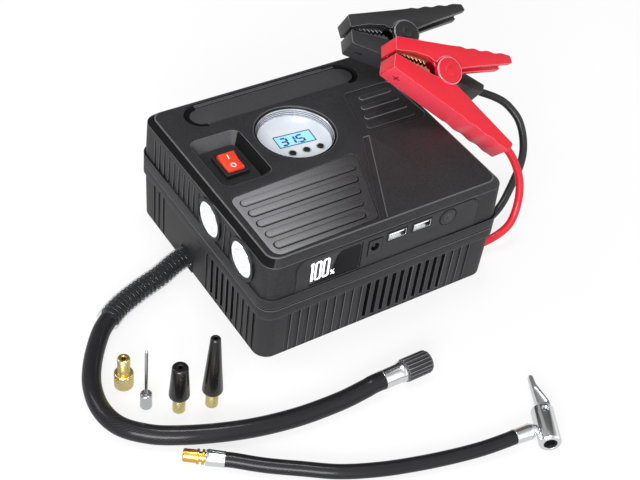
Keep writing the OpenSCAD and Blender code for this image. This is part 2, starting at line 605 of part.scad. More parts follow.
// ---------- battery and compressor ----------
bat = [88, 60, 42];
bat_x = 22;
bat_y = -34;
module battery_pack() color("#3a4b63") translate([bat_x, bat_y, floor_z]) {
    slab(bat[0], bat[1], 3, 0, bat[2]);
    for (i = [-1, 1]) translate([i * 30, 20, bat[2]]) cylinder(r = 4, h = 2.4);
}
gx = -36;
gy = 28;
gz = 26;
centre = gear_m * (gear_n + pinion_n) / 2 + 0.1;
gear_w = 6;
plate_x = gx + gear_w + 1;
plate_t = 3;
plate_h = gz + motor_r + 1.1 - floor_z;
head_t = 10;                              // from the crown to the outside of the head
function inva(a) = tan(a) * 180 / PI - a;
function flank(n, m, r) = let (rp = m * n / 2, rb = rp * cos(20))
    90 / n - 0.14 / rp * 180 / PI + inva(20) - (r <= rb ? 0 : inva(acos(rb / r)));
function gear(n, m) = let (rp = m * n / 2, ra = rp + 0.95 * m, rf = rp - 1.25 * m, rb = rp * cos(20),
    r0 = max(rb, rf + 0.1), rs = [rf, r0, r0 + (ra - r0) * 0.35, r0 + (ra - r0) * 0.7, ra])
    [for (i = [0 : n - 1]) each concat(
        [for (r = rs) let (a = i * 360 / n - flank(n, m, r)) r * [cos(a), sin(a)]],
        [for (k = [4 : -1 : 0]) let (r = rs[k], a = i * 360 / n + flank(n, m, r)) r * [cos(a), sin(a)]])];
module compressor_motor() color("#7d8186") {
    translate([plate_x + plate_t, gy + centre, gz]) rotate([0, 90, 0]) {
        cylinder(r = motor_r, h = motor_l);
        translate([0, 0, motor_l]) cylinder(r = 6, h = 3);
        translate([0, 0, -plate_t - 0.4]) cylinder(r = 3.4, h = plate_t + 0.5);
        translate([0, 0, -gear_w - 2.2]) cylinder(r = 1.5, h = gear_w + 3);
    }
    // cradle from the motor to the floor
    translate([plate_x + plate_t + 12, gy + centre - 10, floor_z]) cube([28, 20, gz - motor_r - floor_z + 3]);
}
// rest pose: a pinion gap faces a gear tooth along the line of centres
module motor_pinion() color("#c8a24a") translate([gx, gy + centre, gz]) rotate([90, 0, 90])
    linear_extrude(gear_w) rotate([0, 0, 180 + 180 / pinion_n]) difference() {
        polygon(gear(pinion_n, gear_m));
        circle(1.55);
    }
module crank_gear() color("#d9dbdd") {
    translate([gx, gy, gz]) rotate([90, 0, 90]) difference() {
        linear_extrude(gear_w) polygon(gear(gear_n, gear_m));
        translate([0, 0, -1]) cylinder(r = 2.5, h = 12);
        for (a = [45 : 90 : 315]) rotate([0, 0, a]) translate([11.5, 0, -1]) cylinder(r = 2.6, h = 12);
    }
    translate([gx - 6, gy - throw, gz]) rotate([0, 90, 0]) cylinder(r = 2, h = 6.5);
}
rod_x = gx - 5.5;
rod_t = 4.6;
wrist_y = gy - throw - rod_l;
module connecting_rod() color("#b0b4b9") translate([rod_x, 0, gz]) rotate([90, 0, 90])
    linear_extrude(rod_t) difference() {
        union() {
            translate([gy - throw, 0]) circle(4.4);
            translate([wrist_y, 0]) circle(3);
            translate([wrist_y, -1.8]) square([rod_l, 3.6]);
        }
        translate([gy - throw, 0]) circle(2.05);
        translate([wrist_y, 0]) circle(1.4);
    }
crown_y = wrist_y - throw - 3 - 4;
cyl_front = gy - gear_m * (gear_n / 2 + 1) - 1;
cyl_x = rod_x + rod_t / 2;
module piston() color("#9b9ea2") translate([cyl_x, crown_y - 3, gz]) rotate([-90, 0, 0]) difference() {
    cylinder(r = bore_r - 0.05, h = 20);
    translate([0, 0, 3]) cylinder(r = bore_r - 1.8, h = 30);
}
module cylinder_block() color("#a8abae") difference() {
    union() {
        translate([cyl_x, crown_y - head_t, gz]) rotate([-90, 0, 0]) {
            cylinder(r = bore_r + 3, h = cyl_front - crown_y + head_t);
            for (k = [0 : 3]) translate([0, 0, 6 + k * 5]) cylinder(r = bore_r + 5, h = 1.6);
        }
        // side plate that carries the motor and the gear axle
        translate([plate_x, crown_y - head_t, floor_z])
            cube([plate_t, gy + centre + motor_r - 1.5 - crown_y + head_t, plate_h]);
        translate([gx - 0.5, gy, gz]) rotate([0, 90, 0]) cylinder(r = 2.45, h = gear_w + 2);
        translate([cyl_x - 5, crown_y - head_t, floor_z])
            cube([10, cyl_front - crown_y + head_t, gz - bore_r + 0.6 - floor_z]);
    }
    translate([cyl_x, crown_y - 5, gz]) rotate([-90, 0, 0])
        cylinder(r = bore_r, h = cyl_front - crown_y + 6);
    translate([plate_x - 10, gy + centre, gz]) rotate([0, 90, 0]) cylinder(r = 3.5, h = 20);
    translate([cyl_x, crown_y - 20, gz]) rotate([-90, 0, 0]) cylinder(r = 1.6, h = 12);
}
pipe_r = 2.6;
module air_pipe() color("#c9a24b") {
    head = crown_y - head_t;
    // outlet elbow on the cylinder head, pipe to the barb behind the outlet
    translate([cyl_x, head - 7, gz]) rotate([-90, 0, 0]) {
        cylinder(r = pipe_r, h = 7);
        translate([0, 0, 4]) cylinder(r = 4, h = 3);
    }
    translate([cyl_x, head - 7, gz]) sphere(r = pipe_r);
    translate([pipe_x, head - 7, gz]) rotate([0, 90, 0]) cylinder(r = pipe_r, h = cyl_x - pipe_x);
    translate([pipe_x, head - 7, gz]) sphere(r = pipe_r);
    translate([pipe_x, head - 7, hose_z]) cylinder(r = pipe_r, h = gz - hose_z);
    translate([pipe_x, head - 7, hose_z]) sphere(r = pipe_r);
    translate([pipe_x, head - 7, hose_z]) rotate([-90, 0, 0]) cylinder(r = pipe_r, h = hose_y - head + 7);
    translate([pipe_x, hose_y, hose_z]) sphere(r = pipe_r);
    translate([hose_start, hose_y, hose_z]) rotate([0, 90, 0]) {
        cylinder(r = 4.2, h = 5);
        cylinder(r = pipe_r, h = pipe_x - hose_start);
    }
}
pipe_x = -66;

// ---------- air hose ----------
hose_start = -cav_l / 2 + 0.7;
nut_r = 6.6;
nut_z = nut_r + 0.99;
route = [[hose_start, 16, hose_z], [-86, 16, hose_z], [-91, 15.6, hose_z], [-99, 12.8, hose_z],
    [-111, 7.5, hose_z], [-128, 2, hose_z], [-145, -5, hose_z], [-157, -13, hose_z], [-166, -21, rest_z + 0.9],
    [-178, -37, rest_z], [-186.5, -54, rest_z], [-189.5, -72, rest_z], [-185.5, -88, rest_z],
    [-173.5, -101, rest_z], [-158.5, -110, rest_z], [-137.5, -119, rest_z], [-115, -126, rest_z],
    [-90, -130.5, rest_z], [-64, -132, rest_z], [-47, -131.7, rest_z + 0.8], [-39.5, -131.5, nut_z],
    [-33, -131.5, nut_z]];
hose_end = [-33, -131.5, nut_z];
ferrule_l = 15;
nut_l = 19;
hose_path = curve(route, 3);
module air_hose() color("#1b1b1d") sweep(hose_path, hose_r, 12, d0 = [-1, 0, 0], d1 = [1, 0, 0]);
// the guard winds round the first stretch of the hose, under the sleeve
g_route = [for (i = [3 : 24]) hose_path[i]];
function run_to(p, i) = i <= 0 ? 0 : run_to(p, i - 1) + norm(p[i] - p[i - 1]);
g_len = [for (i = 0, s = 0; i < len(g_route); i = i + 1,
    s = s + (i < len(g_route) ? norm(g_route[i] - g_route[i - 1]) : 0)) s];
function seek(s, i = 0) = i >= len(g_len) - 2 || g_len[i + 1] >= s ? i : seek(s, i + 1);
function at(s) = let (i = seek(s), t = (s - g_len[i]) / (g_len[i + 1] - g_len[i]))
    g_route[i] + t * (g_route[i + 1] - g_route[i]);
function dir_at(s) = unit(at(min(s + 3, g_len[len(g_len) - 1])) - at(max(s - 3, 0)));
guard_from = 1.5;
guard_pitch = 3.5;
guard_mean = hose_r + guard_wire + 0.12;
guard_path = [for (k = [0 : 8 * guard_turns])
    let (s = guard_from + k * guard_pitch / 8, d = dir_at(s), u = unit(cross(d, [0, 0, 1])),
         v = cross(u, d), a = 45 * k)
    at(s) + guard_mean * (cos(a) * u + sin(a) * v)];
guard_gap = min([for (i = [0 : len(guard_path) - 8], j = [6, 7, 8])
    norm(guard_path[min(i + j, len(guard_path) - 1)] - guard_path[i])]) - 2 * guard_wire;
echo(least_gap_of_spring_guard = guard_gap);
module spring_guard() color("#9da0a4") sweep(guard_path, guard_wire, 6);
module hose_sleeve() color([0.8, 0.82, 0.84, 0.3])
    sweep_tube([for (i = [2 : 21]) hose_path[i]], sleeve_ro, sleeve_ri, 12);
module hose_ferrule() color("#c4c6c9") translate(hose_end) rotate([0, 90, 0]) rotate_extrude()
    polygon([[0, 0], [hose_r + 0.35, 0], [hose_r + 0.35, 1], [hose_r + 0.2, 1.2], [hose_r + 0.3, ferrule_l - 3],
        [hose_r + 0.8, ferrule_l - 1.4], [hose_r + 0.8, ferrule_l - 0.3], [4, ferrule_l - 0.3],
        [4, ferrule_l + 2], [0, ferrule_l + 2]]);
nut_bore = 3.9;
module hose_nut() color("#17181a") translate(hose_end + [ferrule_l, 0, 0]) rotate([0, 90, 0]) difference() {
    union() {
        cylinder(r = nut_r, h = nut_l);
        for (k = [0 : 17]) rotate([0, 0, 20 * k]) translate([nut_r - 0.1, 0, 0.9]) rotate([0, 0, 45])
            translate([-0.7, -0.7, 0]) cube([1.4, 1.4, nut_l - 1.8]);
    }
    translate([0, 0, -1]) cylinder(r = 4.05, h = 4);
    translate([0, 0, 4]) cylinder(r = nut_bore, h = nut_l);
    cylinder(r = 1.6, h = 6);
}

// ---------- extension hose with chuck ----------
ext_z = ext_r + 0.1;
chuck_r = 6.8;
chuck_z = chuck_r + 0.1;
tip = [-163, -122, ext_z];
ext_a = -36;
nipple_l = 13;
ext_f_l = 11;
ext_end = [11.8, -203.4, chuck_z];
ext_b = -6;
ext_from = tip + (nipple_l + ext_f_l) * [cos(ext_a), sin(ext_a), 0];
ext_route = [ext_from, ext_from + 5 * [cos(ext_a), sin(ext_a), 0], [-129, -150.5, ext_z], [-110.5, -163, ext_z],
    [-91, -174, ext_z], [-70, -183.5, ext_z], [-47, -191, ext_z], [-26, -196.4, ext_z], [-9, -200.4, ext_z + 1],
    ext_end - 6 * [cos(ext_b), sin(ext_b), 0.06], ext_end];
module ext_ferrule(l) rotate([0, 90, 0]) rotate_extrude()
    polygon([[0, 0], [ext_r + 0.4, 0], [ext_r + 0.4, 0.8], [ext_r + 0.25, 1], [ext_r + 0.5, l - 1.2],
        [ext_r + 0.1, l], [0, l]]);
module extension_hose() color("#1b1b1d") sweep(curve(ext_route, 2), ext_r, 12,
    d0 = [cos(ext_a), sin(ext_a), 0], d1 = [cos(ext_b), sin(ext_b), 0]);
module extension_ferrules() color("#c9cbce") {
    translate(ext_from) rotate([0, 0, ext_a + 180]) ext_ferrule(ext_f_l);
    translate(ext_end) rotate([0, 0, ext_b]) ext_ferrule(12.5);
}
nipple_bore = 1.6;
module extension_nipple() color("#c9a24b") translate(tip) rotate([0, 0, ext_a]) rotate([0, 90, 0])
    difference() {
        union() {
            cylinder(r1 = thread_r - 0.5, r2 = thread_r, h = 0.6);
            translate([0, 0, 0.6]) cylinder(r = thread_r, h = 7.2);
            translate([0, 0, 7.8]) cylinder(r = 3, h = nipple_l - 7.8);
            for (z = [7.8, 10.8]) translate([0, 0, z]) cylinder(r = thread_r + 0.6, h = 1.5);
        }
        translate([0, 0, -1]) cylinder(r = nipple_bore, h = 9);
    }
// the chuck lies flat: its axis points to the mouth
chuck_l = 26;
chuck_a = -118;
chuck_at = [34.2, -206, chuck_z];         // where the neck meets the barrel
chuck_top = 12.5;                         // from the neck to the lever end
slot_half = 2.6;
pin_down = 4.6;                           // from the lever end of the barrel to the pin
chuck_pin_r = 1.6;
module chuck_frame() translate(chuck_at) rotate([0, 0, chuck_a]) rotate([0, 90, 0]) children();
module chuck_body() color("#c5c7ca") {
    difference() {
        union() {
            chuck_frame() translate([0, 0, -chuck_top]) rotate_extrude() polygon([[0, 0],
                [chuck_r - 0.8, 0], [chuck_r, 0.8], [chuck_r, chuck_l - 1],
                [chuck_r - 1, chuck_l], [0, chuck_l]]);
            // neck from the ferrule to the barrel
            translate(ext_end) rotate([0, 0, ext_b]) translate([12.5, 0, 0]) rotate([0, 90, 0]) {
                cylinder(r = 2.7, h = neck_l);
                translate([0, 0, 1]) cylinder(r = 3.6, h = 1.2);
            }
        }
        chuck_frame() {
            translate([0, 0, 2]) cylinder(r = 4.1, h = chuck_l);
            translate([0, 0, 0.5]) cylinder(r = 4.6, h = 3);
            translate([0, 0, -3]) cylinder(r = 2.4, h = 8);
            // slot for the lever, open at the end and on the side away from the hose
            translate([-slot_half, -3.7, -chuck_top - 1])
                cube([2 * slot_half, chuck_r + 5, pin_down + 5.4]);
        }
        lever_frame() rotate([0, 90, 0]) {
            cylinder(r = chuck_pin_r + 0.05, h = 20, center = true);
            for (z = [-chuck_r - 2, chuck_r - 1]) translate([0, 0, z]) cylinder(r = 2.4, h = 3);
        }
    }
}
neck_l = 5.1;
lever_l = 30.4;                           // from the pin to the tip
lever_t = 2 * slot_half - 0.4;
module lever_frame() chuck_frame() translate([0, 0, -chuck_top + pin_down]) children();
// side view of the lever: across the barrel, then away from the mouth
lever_prof = rounded([[-2.6, -1.6, 1], [-2.5, 6, 3], [-3.1, 0.74 * lever_l, 2], [-3.2, lever_l, 0.9],
    [-0.7, lever_l, 0.9], [0.1, 0.76 * lever_l, 2.5], [0.9, 0.7 * lever_l, 2.5], [5.2, 9.8, 1.6],
    [5.4, 6.4, 1], [2.6, -1.6, 1]]);
module lever_side(w, p) rotate([0, -90, 0]) rotate([0, 0, 0]) linear_extrude(w, center = true)
    polygon([for (q = p) [-q[1], q[0]]]);
module chuck_lever() color("#d2d4d7") lever_frame() difference() {
    union() {
        rotate([0, 90, 0]) cylinder(r = 3, h = lever_t, center = true);
        lever_side(lever_t, lever_prof);
    }
    rotate([0, 90, 0]) cylinder(r = chuck_pin_r + 0.05, h = 20, center = true);
    // hollow of the handle, open upwards
    translate([-slot_half, 0, 0]) lever_side(2 * slot_half - 1.8, rounded([[-1.3, 8.6, 0.8],
        [-1.9, 0.68 * lever_l, 0.8], [-0.4, 0.68 * lever_l, 0.8], [4, 9.6, 0.8], [4, 8.6, 0.4]]));
    // the handle thins towards its tip
    for (s = [-1, 1]) scale([s, 1, 1]) rotate([90, 0, 0]) translate([0, 0, -10]) linear_extrude(20)
        polygon([[lever_t / 2, -8], [lever_t / 2 + 3, -8], [lever_t / 2 + 3, -lever_l - 1],
            [lever_t / 2 - 1, -lever_l - 1]]);
}
module chuck_pin() color("#8f9296") lever_frame() rotate([0, 90, 0])
    cylinder(r = chuck_pin_r, h = 2 * chuck_r - 2.4, center = true);
module chuck_seal() color("#151516") chuck_frame() translate([0, 0, 0.52])
    tube(4.6 - 0.02, 2.2, 2.96);

// ---------- nozzles ----------
adapter_at = [-167.7, -57.2];
needle_at = [-163.4, -77.5];
short_at = [-147.8, -88.7];
long_at = [-128.9, -94];
thread_h = 12.6;
knurl_h = 11.2;
module valve_adapter() color("#cda44c") translate([adapter_at[0], adapter_at[1], 0]) difference() {
    union() {
        cylinder(r1 = 5.4, r2 = 5.8, h = 0.6);
        translate([0, 0, 0.6]) cylinder(r = 5.8, h = knurl_h - 1.2);
        translate([0, 0, knurl_h - 0.6]) cylinder(r1 = 5.8, r2 = 5.3, h = 0.6);
        cylinder(r = 3.3, h = knurl_h + 2);
        translate([0, 0, knurl_h + 1]) cylinder(r = thread_r, h = adapter_h - knurl_h - 1.6);
        translate([0, 0, adapter_h - 0.6]) cylinder(r1 = thread_r, r2 = thread_r - 0.5, h = 0.6);
    }
    translate([0, 0, -1]) cylinder(r = 2.6, h = knurl_h + 1);
    translate([0, 0, 1]) cylinder(r = 1.4, h = adapter_h);
}
module ball_needle() color("#c3c5c8") translate([needle_at[0], needle_at[1], 0]) {
    cylinder(r = thread_r - 0.3, h = 10.4);
    translate([0, 0, 10.4]) cylinder(r1 = thread_r - 0.3, r2 = thread_r - 0.8, h = 0.6);
    translate([0, 0, 11]) cylinder(r1 = 1.5, r2 = 0.95, h = 1.2);
    translate([0, 0, 11]) cylinder(r = 0.95, h = needle_h - 11.95);
    translate([0, 0, needle_h - 0.95]) sphere(r = 0.95, $fn = 24);
}
module cone_at(p, h, rt) translate([p[0], p[1], thread_h]) difference() {
    rotate_extrude() polygon([[0, 0], [5.7, 0], [6.2, 0.5], [6.2, 1.6], [rt + 0.1, h - thread_h - 0.7],
        [rt - 0.5, h - thread_h], [0, h - thread_h]]);
    translate([0, 0, h - thread_h - 6]) cylinder(r = 1.3, h = 8);
}
module nozzle_cones() color("#1a1b1c") {
    cone_at(short_at, short_h, 4.7);
    cone_at(long_at, long_h, 2.9);
}
module nozzle_threads() color("#cda44c") for (p = [short_at, long_at]) translate([p[0], p[1], 0]) difference() {
    union() {
        cylinder(r = thread_r, h = thread_h);
        translate([0, 0, thread_h - 1.2]) cylinder(r = thread_r + 1, h = 1.2);
    }
    translate([0, 0, -1]) cylinder(r = 1.3, h = thread_h - 1);
}

// ---------- clamps ----------
// local frame of a clamp: X from the pivot to the jaw tips, Y across, Z to the upper arm
red_at = [cx + 2.2, 3.2, case_h + 25.5];   // both clamps lean on the roof edge
red_turn = [56.6, -23.3, 156.2];
black_at = [cx + 7.9, 56.2, case_h + 19];
black_turn = [60, -11.1, 162.9];
under = 16.6;                             // slope of the lower arm
over = 11.5;                              // slope of the upper arm
inner_w = clamp_w - 2 * clamp_wall;
tongue_w = inner_w - 0.5;
function low_line(x) = -10.9 - (40.8 - x) * tan(under);
function top_line(x) = 9.9 + (42.4 - x) * tan(over);
low_prof = rounded(concat([[40.9, -1.2, 0.6], [33.5, -2.6, 2], [22, -4.2, 3], [11, -6.5, 0], [-8, -7.6, 0],
    [-56, -33.2, 1.4], [-54, -39.2, 2.2]],
    [for (x = [-48 : 2.1 : -9]) [x, low_line(x) + 0.5 * cos((x + 13.8) * 360 / 12.6), 0]],
    [[2, low_line(2), 0], [40.8, -10.9, 1.6]]));
module clamp_at(p, t) translate(p) rotate(t) children();
module prof(w, p) rotate([90, 0, 0]) linear_extrude(w, center = true) polygon(p);
module across(r, w) rotate([90, 0, 0]) cylinder(r = r, h = w, center = true);
module lower_arm() difference() {
    union() {
        prof(clamp_w, low_prof);
        across(boss_r, clamp_w);
        across(boss_r, clamp_w + 3.2);
    }
    // channel open to the upper arm, with an end wall at the jaw
    prof(inner_w, [[38.6, low_line(38.6) + 2.4], [38.6, 30], [-70, 30], [-70, low_line(-70) + 2.9],
        [-45, low_line(-45) + 2.9]]);
    across(pin_r + 0.02, clamp_w + 10);
}
up_prof = rounded(concat([[40.8, 1, 0.6], [42.4, 9.9, 1.4], [3, top_line(3), 0]],
    [for (x = [-4 : -2.2 : -41]) [x, top_line(x) + 0.5 * cos((x + 6) * 360 / 11), 0]],
    [[-46.5, 27.6, 1.6], [-48.9, 22.9, 1.2], [-24.5, 12.6, 6], [-7, 4.4, 2], [12, 3.2, 1], [16, 4.9, 1],
    [27, 4.4, 4]]));
module upper_arm() difference() {
    union() {
        difference() {
            prof(clamp_w, up_prof);
            across(boss_r + 0.3, clamp_w + 10);
        }
        // cheeks that run down inside the lower arm to the pivot
        across(boss_r - 1.2, tongue_w);
        prof(tongue_w, [[-8, 0], [-13, 9], [-8, 14], [9, 14], [14, 7], [8, 0]]);
    }
    prof(inner_w - 3.8, [[38.8, -5], [38.8, top_line(38.8) - 2.4], [-60, top_line(-60) - 3.4], [-60, 0],
        [-14, -12], [16, -12]]);
    across(pin_r + 0.05, clamp_w + 10);
}
jaw_teeth = 8;
module jaw_strip(w) prof(w, concat([[38.4, -7.6], [38.4, -0.9]],
    [for (k = [0 : jaw_teeth - 1]) each [[37.2 - 3 * k, -1.0], [35.9 - 3 * k, -2.4 - 0.05 * k]]],
    [[13.2, -2.6], [12.6, -5.6], [14, -6.6], [30, -5.6], [34, -7.8]]));
module upper_jaw_strip(w) prof(w, concat([[38.6, 6.8], [38.6, 0.4]],
    [for (k = [0 : jaw_teeth - 1]) each [[37.2 - 3 * k, 0.5], [35.9 - 3 * k, 1.9 + 0.1 * k]]],
    [[13.2, 3.2], [12.6, 6.4], [20, 7.4], [33, 6.6]]));
jaw_w = inner_w - 4.2;
module red_lower_arm() color("#d3122a") clamp_at(red_at, red_turn) lower_arm();
module red_upper_arm() color("#dc1630") clamp_at(red_at, red_turn) upper_arm();
module red_upper_jaw() color("#b86a3a") clamp_at(red_at, red_turn) upper_jaw_strip(jaw_w);
module black_lower_arm() color("#1c1d1f") clamp_at(black_at, black_turn) lower_arm();
module black_upper_arm() color("#202123") clamp_at(black_at, black_turn) upper_arm();
module black_upper_jaw() color("#b86a3a") clamp_at(black_at, black_turn) upper_jaw_strip(jaw_w);
module lower_jaws() color("#b86a3a") {
    clamp_at(red_at, red_turn) jaw_strip(inner_w - 0.3);
    clamp_at(black_at, black_turn) jaw_strip(inner_w - 0.3);
}
module pivot_pins() color("#a7a9ad") {
    clamp_at(red_at, red_turn) pivot_pin();
    clamp_at(black_at, black_turn) pivot_pin();
}
module pivot_pin() {
    across(pin_r, clamp_w + 3.2);
    for (i = [-1, 1]) translate([0, i * (clamp_w / 2 + 1.85), 0]) across(pin_r + 0.6, 0.5);
}
spring_r = 4.2;
spring_wire = 0.7;
spring_path = [for (k = [0 : 8 * 4]) [spring_r * cos(45 * k), -3.6 + 7.2 * k / 32, spring_r * sin(45 * k)]];
module clamp_spring() sweep(spring_path, spring_wire, 6, [1, 0, 0]);
module clamp_springs() color("#85888c") {
    clamp_at(red_at, red_turn) clamp_spring();
    clamp_at(black_at, black_turn) clamp_spring();
}
red_route = [[cav_l / 2 - 1, gland_y[0], gland_z], [88, gland_y[0], 8], [gland_end, gland_y[0], 8], [99, -62.6, 8],
    [107, -63, 10], [113.5, -63.3, 13], [119, -63, 17.5], [123.5, -61, 23.5], [126.5, -58.5, 30.5],
    [128, -56, 38], [128.5, -52.5, 46], [127, -48.5, 54], red_at + [33.4, -48.2, -45.4],
    red_at + [30.4, -44.7, -40.3], red_at + [26.3, -41.2, -37], red_at + [22.1, -37.9, -33.8]];
black_route = [[cav_l / 2 - 1, gland_y[1], gland_z], [88, gland_y[1], 8], [gland_end, gland_y[1], 8], [99, -46, 8],
    [106, -46.5, 8.6], [114, -46.5, 9.8], [122, -45, 12], [130, -42, 15.5], [137.5, -38, 20],
    [144.5, -34, 25.5], [151, -30, 31.5], [156, -25.5, 37.5], [159, -20.5, 43.5], [160.4, -15, 50],
    [160, -9.5, 56], [157.5, -4, 61], [153.5, 1.5, 65.4], black_at + [50.6, -49.7, -30.8],
    black_at + [42.5, -44.2, -28], black_at + [37.5, -41, -26], black_at + [32.5, -37.9, -24]];
module red_cable() color("#d3122a") sweep(curve(red_route, 2), cable_r, 10, d0 = [1, 0, 0]);
module black_cable() color("#1a1a1c") sweep(curve(black_route, 2), cable_r, 10, d0 = [1, 0, 0]);

lower_case();
upper_case();
port_panel();
display_window();
power_button();
usb_shells();
usb_tongues();
dc_jack();
grip_panel();
switch_bezel();
rocker_switch();
gauge_ring();
gauge_face();
gauge_lcd();
gauge_button(0);  // gauge_button_left
gauge_button(1);  // gauge_button_middle
gauge_button(2);  // gauge_button_right
light_reflectors();
light_lenses();
light_emitters();
rubber_feet();
case_screws();
hose_grommet();
cable_glands();
battery_pack();
port_board();
compressor_motor();
motor_pinion();
crank_gear();
connecting_rod();
piston();
cylinder_block();  // cylinder
air_pipe();
air_hose();
spring_guard();
hose_sleeve();
hose_ferrule();
hose_nut();
extension_hose();
extension_ferrules();
extension_nipple();
chuck_body();
chuck_lever();
chuck_pin();
chuck_seal();
valve_adapter();
ball_needle();
nozzle_cones();
nozzle_threads();
red_lower_arm();
red_upper_arm();
red_upper_jaw();
black_lower_arm();
black_upper_arm();
black_upper_jaw();
lower_jaws();
pivot_pins();
clamp_springs();
red_cable();
black_cable();
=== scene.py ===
"""Jump starter with a built-in compressor: finishes, fine forms, stage and camera."""
import json
from math import atan, cos, pi, radians, sin, tau

import bmesh
import bpy
import numpy as np
from bpy.props import FloatProperty, FloatVectorProperty, PointerProperty
from mathutils import Euler, Matrix, Vector


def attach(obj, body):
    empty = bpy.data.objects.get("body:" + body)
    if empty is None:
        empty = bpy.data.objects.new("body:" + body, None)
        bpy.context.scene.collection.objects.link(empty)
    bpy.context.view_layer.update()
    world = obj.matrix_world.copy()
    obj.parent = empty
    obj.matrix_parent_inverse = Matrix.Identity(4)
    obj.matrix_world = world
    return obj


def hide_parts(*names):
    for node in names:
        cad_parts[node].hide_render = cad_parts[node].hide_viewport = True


bl_info = {
    "name": "Jump Starter Kit",
    "version": (1, 0, 0),
    "blender": (4, 5, 0),
    "location": "View3D > Sidebar > Jump Starter",
    "description": "Dresses the case, hoses, clamps and nozzles of a portable jump starter",
    "category": "Object",
}

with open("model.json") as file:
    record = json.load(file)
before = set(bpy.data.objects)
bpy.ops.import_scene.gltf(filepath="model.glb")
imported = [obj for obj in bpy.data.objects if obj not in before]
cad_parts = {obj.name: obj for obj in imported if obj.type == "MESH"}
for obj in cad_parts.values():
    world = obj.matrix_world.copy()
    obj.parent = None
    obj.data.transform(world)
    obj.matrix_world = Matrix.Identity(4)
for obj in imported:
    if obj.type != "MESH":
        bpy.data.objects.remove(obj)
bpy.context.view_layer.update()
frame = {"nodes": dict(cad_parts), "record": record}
MM = 0.001
RECORD = frame["record"]
BODY = {n: b for b, group in RECORD["behaviour"]["bodies"].items() for n in group}
SLOT = {s["node"]: s["material_slot"] for s in RECORD["subparts"]}


def srgb(r, g, b):
    """Linear colour from 0-255 values."""
    return tuple((c / 255 / 12.92) if c / 255 <= 0.04045 else ((c / 255 + 0.055) / 1.055) ** 2.4 for c in (r, g, b))


def colour(name, about, rgb):
    return FloatVectorProperty(name=name, description=about, subtype="COLOR", size=3, min=0, max=1, default=srgb(*rgb))


def length(name, about, mm):
    return FloatProperty(name=name, description=about, subtype="DISTANCE", unit="LENGTH", min=0, default=mm * MM)


class KitColours(bpy.types.PropertyGroup):
    """Colours of the finishes."""
    case: colour("Case", "Moulded shells of the case", (37, 37, 39))
    panel: colour("Port panel", "Panel round the sockets", (46, 46, 48))
    grip: colour("Grip panel", "Lighter panel on the roof", (66, 66, 68))
    red: colour("Red plastic", "Arms of the positive clamp", (206, 12, 38))
    black: colour("Black plastic", "Arms of the negative clamp", (34, 34, 36))
    rubber: colour("Rubber", "Hoses, feet and black cable", (17, 17, 19))
    switch: colour("Rocker", "Rocker of the power switch", (226, 62, 36))
    chrome: colour("Chrome", "Plated ferrules and chuck", (246, 247, 248))
    brass: colour("Brass", "Threads and valve adapter", (255, 228, 156))
    copper: colour("Copper", "Toothed jaws of the clamps", (168, 122, 92))
    display: colour("Display", "Backlight of the gauge window", (146, 208, 232))


class KitSizes(bpy.types.PropertyGroup):
    """Sizes of the fine forms."""
    shell_edge: length("Shell edge", "Rounding of the edges of the shells", 0.55)
    clamp_edge: length("Clamp edge", "Rounding of the edges of the clamp arms", 0.7)
    braid: length("Braid pitch", "Length of one diamond of the hose braid", 2.6)
    grain: length("Grain", "Size of the moulded grain", 0.8)


# ---------- shader maths ----------
class Value:
    """A socket that adds and multiplies as a number does."""

    def __init__(self, finish, socket):
        self.finish, self.socket = finish, socket

    def __add__(self, other): return self.finish.math("ADD", self, other)
    def __radd__(self, other): return self.finish.math("ADD", other, self)
    def __sub__(self, other): return self.finish.math("SUBTRACT", self, other)
    def __rsub__(self, other): return self.finish.math("SUBTRACT", other, self)
    def __mul__(self, other): return self.finish.math("MULTIPLY", self, other)
    def __rmul__(self, other): return self.finish.math("MULTIPLY", other, self)
    def __pow__(self, other): return self.finish.math("POWER", self, other)
    def __abs__(self): return self.finish.math("ABSOLUTE", self)


class Nodes:
    """A node tree and the few calls that fill it."""

    def __init__(self, tree):
        self.tree = tree

    def feed(self, target, value):
        """Links a value to an input or writes it there; a colour gets its fourth number."""
        if isinstance(value, Value):
            self.tree.links.new(value.socket, target)
        else:
            target.default_value = (*value, 1) if target.type == "RGBA" and len(value) == 3 else value

    def node(self, kind, out=0, settings=None, **sockets):
        """A new node; its inputs are given by name, or as i0, i1 and so on."""
        n = self.tree.nodes.new(kind)
        for key, value in (settings or {}).items():
            setattr(n, key, value)
        for key, value in sockets.items():
            spot = int(key[1:]) if key[1:].isdigit() and key[0] == "i" else key.replace("_", " ")
            self.feed(n.inputs[spot], value)
        return Value(self, n.outputs[out])

    def at(self):
        """The place on the piece, in metres."""
        return self.node("ShaderNodeTexCoord", out=3)

    def rays(self):
        """Whether a point is seen by the camera, in a mirror or through clear plastic."""
        path = self.tree.nodes.new("ShaderNodeLightPath")
        return [Value(self, path.outputs["Is %s Ray" % k]) for k in ("Camera", "Glossy", "Transmission")]

    def math(self, operation, a, b=None):
        sockets = {"i0": a} if b is None else {"i0": a, "i1": b}
        return self.node("ShaderNodeMath", settings={"operation": operation}, **sockets)

    def clamp(self, value):
        return self.node("ShaderNodeClamp", i0=value)

    def ease(self, value, low, high):
        """0 below low, 1 above high, smooth between."""
        return self.node("ShaderNodeMapRange", settings={"interpolation_type": "SMOOTHSTEP"}, Value=value,
                         From_Min=low, From_Max=high)

    def mix(self, factor, a, b):
        return self.node("ShaderNodeMix", out=2, settings={"data_type": "RGBA"}, i0=factor, i6=a, i7=b)

    def split(self, vector):
        n = self.tree.nodes.new("ShaderNodeSeparateXYZ")
        self.feed(n.inputs[0], vector)
        return [Value(self, out) for out in n.outputs]

    def along(self, vector, way):
        return self.node("ShaderNodeVectorMath", out=1, settings={"operation": "DOT_PRODUCT"}, i0=vector, i1=way)


